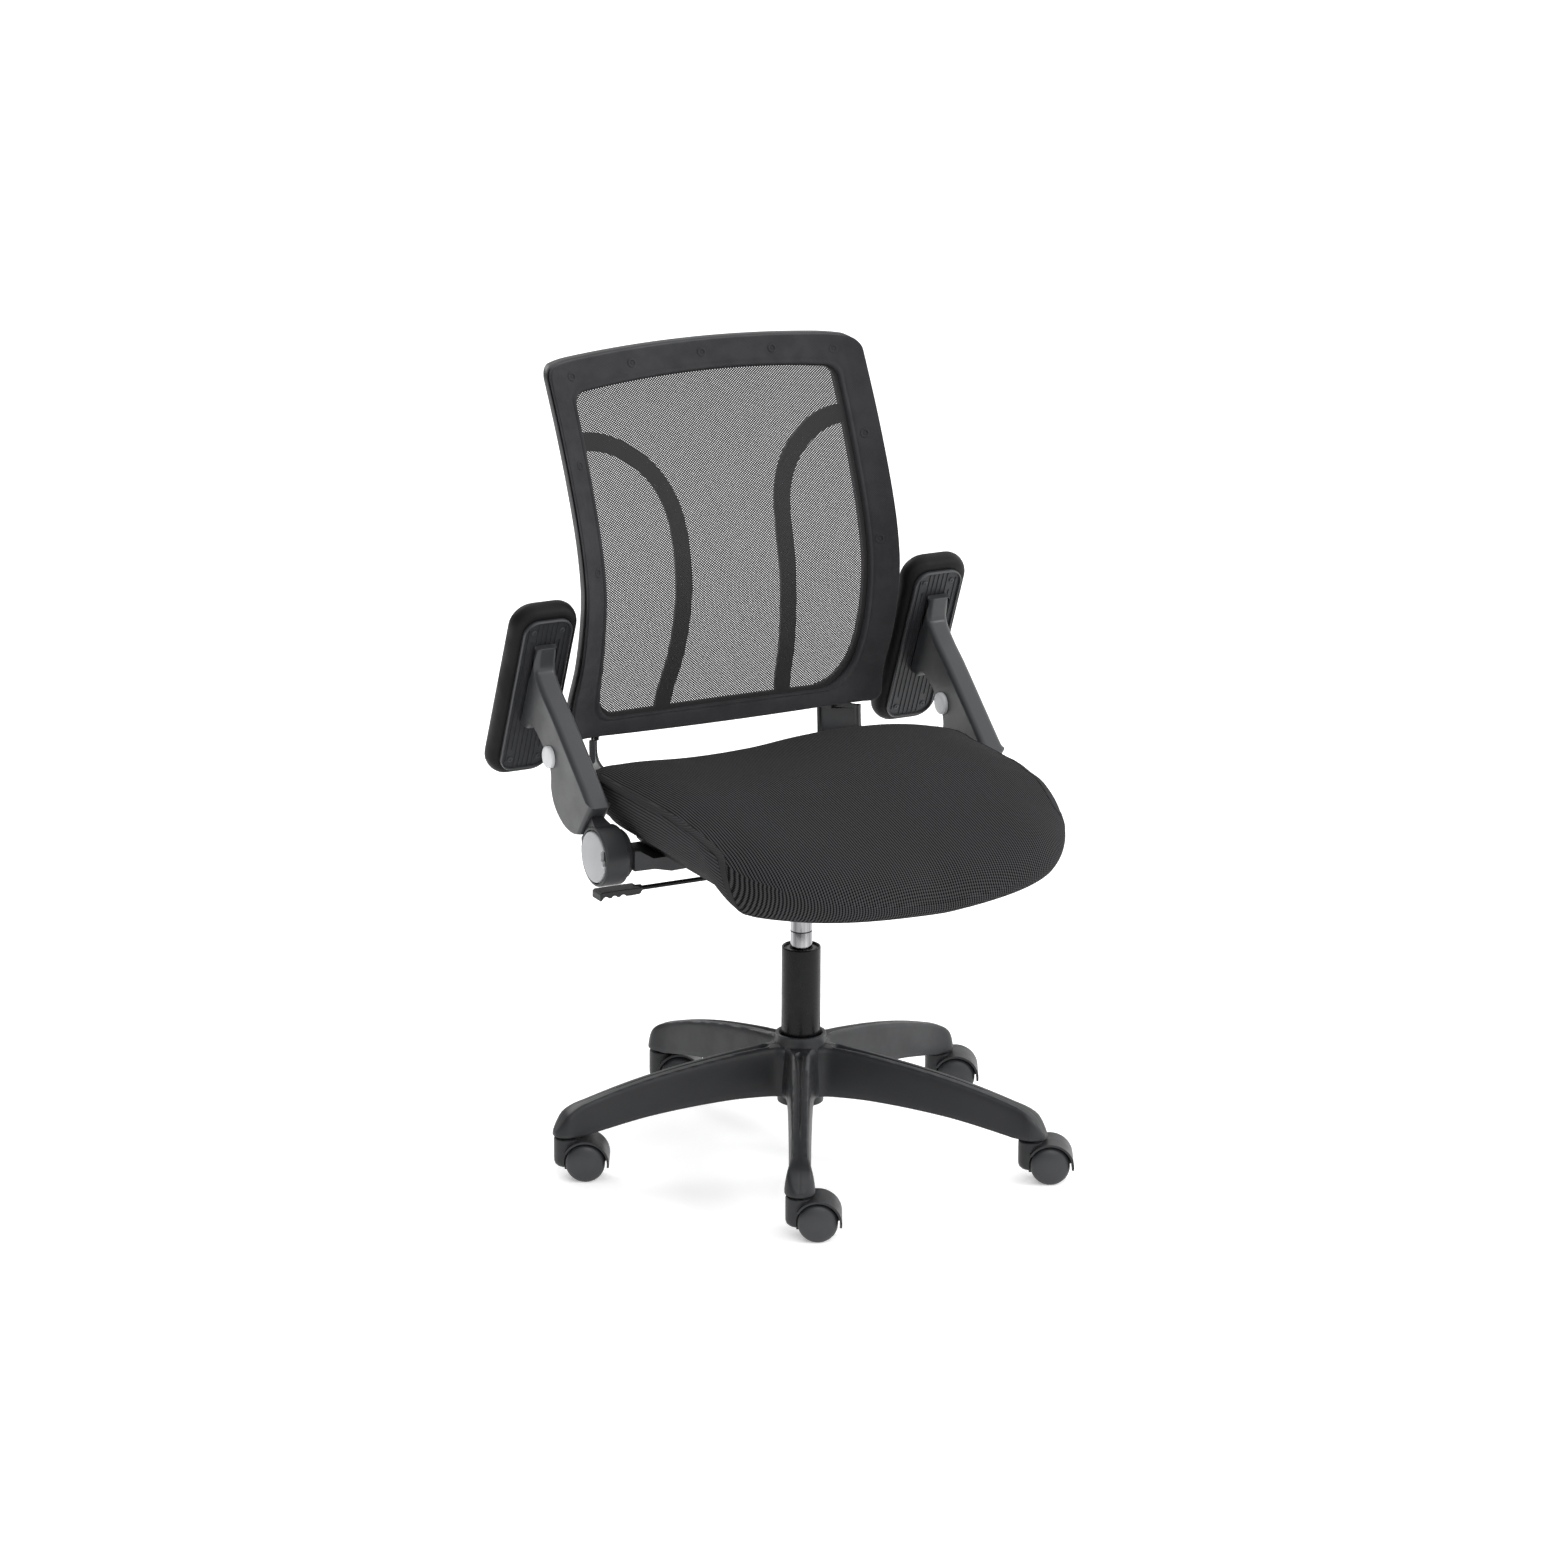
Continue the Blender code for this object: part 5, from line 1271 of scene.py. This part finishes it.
def build_back():
    front = [(1.0, 0.0030), (0.995, 0.0016), (0.98, 0.0006), (0.94, 0.0), (0.75, -0.0008), (0.5, -0.0012),
             (0.3, -0.0012), (0.21, -0.0009), (0.17, -0.0002), (0.13, -0.0014), (0.09, -0.0019),
             (0.05, -0.0016), (0.02, -0.0004), (0.0, 0.0016), (0.0, 0.0030), (0.5, 0.0034), (0.9, 0.0065),
             (1.0, 0.0080)]
    band = ring_body(back_outline(), window_outline(0.0042, (0.040, 0.014)), front)
    piece("back_frame", band, "seat", "frame_fabric", ["mesh_frame"], sharp=60)
    rear = [(0.0, 0.0086), (0.02, 0.0082), (0.25, 0.0087), (0.5, 0.0096), (0.8, 0.0112), (0.94, 0.0123),
            (0.985, 0.0134), (1.0, 0.0152), (1.0, 0.0235), (0.985, 0.0256), (0.95, 0.0268), (0.90, 0.0270),
            (0.7, 0.0250), (0.5, 0.0226), (0.25, 0.0198), (0.06, 0.0176), (0.015, 0.0168), (0.0, 0.0154)]
    band = ring_body(back_outline(0.0005), window_outline(0.001, (0.046, 0.020)), rear)
    joins, cuts = [rib_mesh(1), rib_mesh(-1)], []
    for _, side in SIDES:
        joins += [tongue_mesh(side, 0.0035, 0.5290, 0.5400), socket_mesh(side)]
        cuts.append(tongue_mesh(side, GAP, 0.5000, TONGUE_HIGH_Z + GAP))
    piece("back_carrier", shaped(band, joins=joins, cuts=cuts), "seat", "back_plastic", ["back_shell"],
          bevel=0.0006, sharp=50)
    sheet, flat = mesh_sheet()
    net = piece("back_net", sheet, "seat", "mesh", ["back_mesh"], sharp=180)
    for name, side in SIDES:
        piece(f"back_stay_{name}", upright_mesh(side), "seat", "back_plastic", [f"upright_{name}"],
              bevel=0.0004)
    dimple = lathe([(0, 0.0005), (0.0012, 0.0004), (0.0020, -0.0003), (0.0030, -0.0003), (0.0038, 0.0008),
                    (0.0050, 0.0011), (0.0060, 0.0005), (0.0064, -0.0010), (0, -0.0010)], 40)
    spots = [(0.0, 0.9926)]
    for side in (-1, 1):
        spots += [(side * 0.100, 0.9886), (side * 0.187, 0.9800), (side * 0.204, 0.8790),
                  (side * 0.202, 0.7500)]
    piece("back_frame_buttons", fixings(dimple, [on_face(x, z, 0.0011) for x, z in spots]), "seat",
          "frame_fabric")


# ---------------------------------------------------------------- arms

ARM_PIVOT_Y = -0.005
ARM_PIVOT_Z = 0.438
ARM_SLOPE = math.radians(41)
ARM_X = 0.281
SLEEVE_HALF_WIDTH = 0.015
PAD_LEAN = math.radians(22)
PAD_X = 0.279
PAD_CENTRE = 0.4800
PAD_LENGTH = 0.258
PAD_WIDTH = 0.091
PAD_THICKNESS = 0.031
PAD_UNDERSIDE = 0.4056
PLATE_THICKNESS = 0.004
PLATE_HALF_WIDTH = 0.0335
PLATE_HALF_LENGTH = 0.1155
PLATE_CORNER = 0.0195
RIB_HALF_LENGTH = 0.111
FOOT_LOW = 0.4394
FOOT_HIGH = 0.5600
BUTTON_ALONG = 0.157
BUTTON_ACROSS = -0.0069
BUTTON_RADIUS = 0.0145


def arm_point(along, over, x):
    """A point of the raised arm: its distance along the post's slope, and over the slope."""
    y = ARM_PIVOT_Y + along * math.cos(ARM_SLOPE) - over * math.sin(ARM_SLOPE)
    z = ARM_PIVOT_Z + along * math.sin(ARM_SLOPE) + over * math.cos(ARM_SLOPE)
    return (x, y, z)


def pad_point(x, along, depth):
    """A point of the raised pad: its distance along the pad's lean, and behind it."""
    y = -along * math.sin(PAD_LEAN) + depth * math.cos(PAD_LEAN)
    z = along * math.cos(PAD_LEAN) + depth * math.sin(PAD_LEAN)
    return (x, y, z)


def in_arm_frame(along, depth):
    """A pad point's place along and over the post's slope."""
    _, y, z = pad_point(0, along, depth)
    y, z = y - ARM_PIVOT_Y, z - ARM_PIVOT_Z
    return (y * math.cos(ARM_SLOPE) + z * math.sin(ARM_SLOPE),
            z * math.cos(ARM_SLOPE) - y * math.sin(ARM_SLOPE))


def arm_place(side):
    return lambda along, over, x: arm_point(along, over, side * (ARM_X + x))


def across(side):
    """Turned shapes on the arm's pivot axis: heights are distances out from the chair's middle plane."""
    return lambda y, z, x: (side * x, y + ARM_PIVOT_Y, z + ARM_PIVOT_Z)


def post_mesh(side):
    """The hub with the neck and the flat post that the sleeve slides on."""
    profile = [(0, 0.2630), (0.030, 0.2630), (0.0355, 0.2628), (0.0372, 0.2634), (0.0380, 0.2650),
               (0.0380, 0.2916), (0.0376, 0.2932), (0.0366, 0.2942), (0.0345, 0.2944), (0.0340, 0.2938),
               (0.0340, 0.2920), (0, 0.2920)]
    hub = lathe(profile, 72, across(side))
    place = arm_place(side)
    neck = [[place(along, over, x) for over, x in ((-w, -t), (w, -t), (w, t), (-w, t))]
            for along, w, t in ((0.026, 0.028, 0.0118), (0.036, 0.0245, 0.0095), (0.0435, 0.0222, 0.0080))]
    tongue = [(0.032, -0.020), (0.140, -0.020), (0.140, 0.020), (0.032, 0.020)]
    return shaped(hub, joins=[loft(neck), prism(tongue, -0.005, 0.005, place)])


def cap_mesh(side):
    """The hub's silver cap: a shallow dome with a stepped notch in its rim."""
    start = 0.2924
    profile = [(0, start), (0.0320, start), (0.0322, 0.2950), (0.0318, 0.2958), (0.0310, 0.2962),
               (0.0200, 0.2970), (0.0080, 0.2974), (0, 0.2975)]
    notch = [(-0.0400, -0.0040), (-0.0290, -0.0040), (-0.0275, 0.0012), (-0.0245, 0.0024),
             (-0.0245, 0.0125), (-0.0285, 0.0160), (-0.0400, 0.0160)]
    cut = prism([(y, z) for y, z in notch], 0.28, 0.31, across(side))
    return shaped(lathe(profile, 96, across(side)), cuts=[cut])


def sleeve_outline():
    """The sleeve's side view, and for each point how much of the front's flat chamfer it takes."""
    under = PAD_UNDERSIDE - GAP - PLATE_THICKNESS - GAP
    rear = smooth_path(
        [(0.0440, -0.0160), (0.0540, -0.0290), (0.0720, -0.0410), (0.0920, -0.0465), (0.1120, -0.0460),
         (0.1300, -0.0375), (0.1420, -0.0240), (0.1580, -0.0165), (0.1800, -0.0158), (0.2000, -0.0180)], 4)
    heel = smooth_path([(0.2000, -0.0180), in_arm_frame(0.4570, 0.3700), in_arm_frame(0.4440, 0.3820)],
                       3)[1:]
    foot = straight_path([in_arm_frame(FOOT_LOW, under), in_arm_frame(FOOT_HIGH, under)], 6)
    toe = [in_arm_frame(FOOT_HIGH, under - 0.0045), in_arm_frame(FOOT_HIGH, under - 0.009)]
    front = smooth_path([in_arm_frame(FOOT_HIGH - 0.0004, under - 0.0095), (0.2560, 0.0450),
                         (0.2440, 0.0400), (0.2200, 0.0390), (0.1900, 0.0408), (0.1600, 0.0412)], 5)
    front += straight_path([(0.1500, 0.0412), (0.0440, 0.0412)], 8)
    points = rear + heel + foot + toe + front
    shares = [0.0] * len(rear + heel + foot) + [0.3, 0.6] + [1.0] * len(front)
    return points, shares


def sleeve_mesh(side):
    """The sleeve: its side view carried across, rounded at the rear and chamfered at the front."""
    place = arm_place(side)
    outline, shares = sleeve_outline()
    half = SLEEVE_HALF_WIDTH
    rings = []
    half_section = ((0.52, 0.0, 0.0), (0.66, 0.0005, 0.0), (0.78, 0.0014, 0.0002), (0.87, 0.0026, 0.0006),
                    (0.94, 0.0040, 0.0012), (0.98, 0.0054, 0.0022), (1.0, 0.0068, 0.0034))
    section = [(-level, flat, rounded) for level, flat, rounded in reversed(half_section)]
    section += half_section
    for level, flat, rounded in section:
        amounts = [flat * share + rounded * (1 - share) for share in shares]
        rings.append([place(along, over, half * level) for along, over in inset(outline, amounts)])
    cavity = [(0.030, -0.0206), (0.1425, -0.0206), (0.1425, 0.0206), (0.030, 0.0206)]
    notch = arc((BUTTON_ALONG, BUTTON_ACROSS), BUTTON_RADIUS + 0.0007, 0, 354, 60)
    cuts = [prism(cavity, -0.0056, 0.0056, place), prism(notch, -0.02, 0.02, place)]
    return shaped(loft(rings), cuts=cuts)


def button_mesh(side):
    """A round cross button with domed ends, which passes right through the sleeve."""
    half = [(0, 0.0203), (0.0070, 0.0202), (0.0118, 0.0200), (0.0132, 0.0197), (0.0140, 0.0191),
            (0.0144, 0.0182), (0.0145, 0.0170)]
    profile = half + [(r, -x) for r, x in reversed(half)]
    place = arm_place(side)
    return lathe(profile, 56, lambda a, b, x: place(BUTTON_ALONG + a, BUTTON_ACROSS + b, x))


def plate_mesh(side):
    """The pad's underplate: a tray with a raised lip round it and ribs along its floor."""
    low = PAD_UNDERSIDE - GAP - PLATE_THICKNESS

    def place(x, along, depth):
        return pad_point(side * (PAD_X + x), along, depth)

    def outline(shrink_by):
        return round_rectangle(PLATE_HALF_WIDTH - shrink_by, PAD_CENTRE - PLATE_HALF_LENGTH + shrink_by,
                               PAD_CENTRE + PLATE_HALF_LENGTH - shrink_by, PLATE_CORNER - shrink_by, 12, 8)

    floor = prism(outline(0.0), low + 0.0016, low + PLATE_THICKNESS, place)
    section = [(0.0, low + 0.0020), (0.0, low - 0.0008), (0.0007, low - 0.0017), (0.0016, low - 0.0017),
               (0.0023, low - 0.0008), (0.0023, low + 0.0020)]
    outlines = [outline(shrink_by) for shrink_by, _ in section]
    lip = loft([[place(outlines[k][i][0], outlines[k][i][1], section[k][1]) for k in range(len(section))]
                for i in range(len(outlines[0]))], endless=True)
    ribs = []
    for k in range(9):
        x = -0.0256 + 0.0064 * k
        reach = RIB_HALF_LENGTH if abs(x) < 0.0180 else RIB_HALF_LENGTH - (abs(x) - 0.0180) * 1.1
        if abs(abs(x) - 0.0200) <= 0.0045:  # the ribs in line with the screws stop short of them
            reach -= 0.026
        rib = [(x - 0.0011, low + 0.0018), (x - 0.0006, low + 0.0004), (x + 0.0006, low + 0.0004),
               (x + 0.0011, low + 0.0018)]
        ribs.append(loft([[place(a, PAD_CENTRE + along, d) for a, d in rib] for along in (-reach, reach)]))
    return merged([floor] + ribs), lip


def plate_screws(side):
    """The four screws that hold the underplate to the pad."""
    low = PAD_UNDERSIDE - GAP - PLATE_THICKNESS + 0.0016
    spots = []
    for x in (-0.0195, 0.0195):
        for along in (PAD_CENTRE - 0.099, PAD_CENTRE + 0.099):
            place = Matrix.Translation(pad_point(side * (PAD_X + x), along, low))
            out = Vector((0, -math.cos(PAD_LEAN), -math.sin(PAD_LEAN)))
            spots.append(place @ out.to_track_quat("Z", "Y").to_matrix().to_4x4())
    return fixings(screw_head(0.0036, 0.0020), spots)


def pad_mesh(side):
    """The soft pad: a long rounded slab with full sides and a crowned face."""
    rings = []
    for share, small in ((0.02, 0.0165), (0.0, 0.0135), (0.008, 0.0105), (0.035, 0.0075), (0.09, 0.0046),
                         (0.18, 0.0022), (0.32, 0.0006), (0.48, 0.0), (0.62, 0.0004), (0.74, 0.0018),
                         (0.84, 0.0044), (0.92, 0.0086), (0.968, 0.0135), (0.990, 0.0190), (1.0, 0.0260)):
        outline = round_rectangle(
            PAD_WIDTH / 2 - small, PAD_CENTRE - PAD_LENGTH / 2 + small, PAD_CENTRE + PAD_LENGTH / 2 - small,
            max(0.030 - small * 0.9, 0.005), 16, 8,
        )
        depth = PAD_UNDERSIDE + PAD_THICKNESS * share
        rings.append([pad_point(side * (PAD_X + x), along, depth) for x, along in outline])
    return loft(rings)


def build_arms():
    for name, side in SIDES:
        piece(f"arm_hinge_{name}", post_mesh(side), f"arm_{name}", "nylon", [f"arm_post_{name}"],
              bevel=0.0008)
        piece(f"arm_cap_{name}", cap_mesh(side), f"arm_{name}", "silver", [f"hub_cap_{name}"], bevel=0.0004)
        sleeve = f"sleeve_{name}"
        piece(f"arm_leg_{name}", sleeve_mesh(side), sleeve, "arm_plastic", [f"arm_sleeve_{name}"],
              bevel=0.0005, sharp=50)
        tray, lip = plate_mesh(side)
        piece(f"arm_tray_{name}", tray, sleeve, "nylon", [f"pad_plate_{name}"])
        # The tray's lip takes the lighter arm plastic rather than the tray's nylon: a painted highlight along
        # the plate's outline.
        piece(f"arm_tray_lip_painted_highlight_{name}", lip, sleeve, "arm_plastic")
        piece(f"arm_tray_screws_{name}", plate_screws(side), sleeve, "arm_plastic")
        pad = piece(f"arm_rest_{name}", pad_mesh(side), sleeve, "pad", [f"arm_pad_{name}"], sharp=80)
        piece(f"arm_button_{name}", button_mesh(side), f"button_{name}", "button",
              [f"height_button_{name}"])


# ---------------------------------------------------------------- room, light and camera

FLOOR_REACH = 30
LAMP_AIM = Vector((0, 0, 0.45))
CAMERA_TURN = math.radians(-27.582)
CAMERA_TILT = math.radians(16.300)
CAMERA_ROLL = math.radians(0.294)
CAMERA_DISTANCE = 8.001
CAMERA_AIM_Z = 0.4972
CAMERA_AIM_RIGHT = -0.0281


def build_room():
    corners = [(x * FLOOR_REACH, y * FLOOR_REACH, 0) for x, y in ((-1, -1), (1, -1), (1, 1), (-1, 1))]
    mesh = mesh_of(corners, [(0, 1, 2, 3)])
    finish = Finish("floor", 0.9)
    patch = finish.noise(0.8, 2.0)
    finish.feed("Base Color", finish.ramp(patch, (0.3, (0.93, 0.93, 0.93)), (0.7, (0.94, 0.94, 0.94))))
    finish.set("Specular IOR Level", 0.1)
    finish.set("Emission Color", (1, 1, 1, 1))
    finish.set("Emission Strength", 0.30)
    mesh.materials.append(finish.material)
    floor = bpy.data.objects.new("floor", mesh)
    floor.location.z = -0.0002
    bpy.context.scene.collection.objects.link(floor)
    bpy.context.scene.world = studio_world()
    bpy.context.scene.view_settings.view_transform = "Standard"
    add_lamp("key", (2.5, -2.5, 2.4), 1.3, 38)
    add_lamp("fill", (-1.2, -3.4, 2.6), 1.8, 34)
    add_lamp("rim", (-0.6, 3.4, 2.6), 2.0, 45)


def studio_world():
    """A pale studio with one big soft bank, high on the sitter's left and a little in front."""
    world = bpy.data.worlds.new("studio")
    world.use_nodes = True
    tree = world.node_tree
    place = tree.nodes.new("ShaderNodeTexCoord")
    toward = tree.nodes.new("ShaderNodeVectorMath")
    toward.operation = "DOT_PRODUCT"
    toward.inputs[1].default_value = (0.62, -0.22, 0.75)
    bank = tree.nodes.new("ShaderNodeValToRGB")
    bank.color_ramp.elements[0].position, bank.color_ramp.elements[1].position = 0.0, 0.85
    bank.color_ramp.elements[0].color = (0.16, 0.16, 0.165, 1)
    bank.color_ramp.elements[1].color = (1, 1, 1, 1)
    tree.links.new(place.outputs["Generated"], toward.inputs[0])
    tree.links.new(toward.outputs["Value"], bank.inputs["Fac"])
    tree.links.new(bank.outputs["Color"], tree.nodes["Background"].inputs["Color"])
    tree.nodes["Background"].inputs["Strength"].default_value = 1.75
    return world


def add_lamp(name, place, size, energy):
    """A round soft lamp that faces the chair."""
    lamp = bpy.data.lights.new(name, "AREA")
    lamp.shape = "DISK"
    lamp.size = size
    lamp.energy = energy
    obj = bpy.data.objects.new(name, lamp)
    obj.location = place
    obj.rotation_mode = "QUATERNION"
    obj.rotation_quaternion = (Vector(place) - LAMP_AIM).to_track_quat("Z", "Y")
    bpy.context.scene.collection.objects.link(obj)


def build_camera():
    """The fitted camera: right is the picture's right, and back points from the chair to the camera."""
    right = Vector((math.cos(CAMERA_TURN), math.sin(CAMERA_TURN), 0))
    level = math.cos(CAMERA_TILT)
    back = Vector((math.sin(CAMERA_TURN) * level, -math.cos(CAMERA_TURN) * level, math.sin(CAMERA_TILT)))
    target = right * CAMERA_AIM_RIGHT + Vector((COLUMN.x, COLUMN.y, CAMERA_AIM_Z))
    basis = Matrix((right, back.cross(right), back)).transposed().to_4x4()
    basis = basis @ Matrix.Rotation(CAMERA_ROLL, 4, "Z")
    basis.translation = target + back * CAMERA_DISTANCE
    lens = bpy.data.cameras.new("camera")
    lens.sensor_width = 36
    lens.lens = 146.38
    lens.clip_end = 200
    camera = bpy.data.objects.new("camera", lens)
    camera.matrix_world = basis
    bpy.context.scene.collection.objects.link(camera)
    bpy.context.scene.camera = camera


FINISH = finishes()
build_base()
build_mechanism()
build_seat()
build_back()
build_arms()
build_room()
build_camera()

bpy.context.view_layer.update()
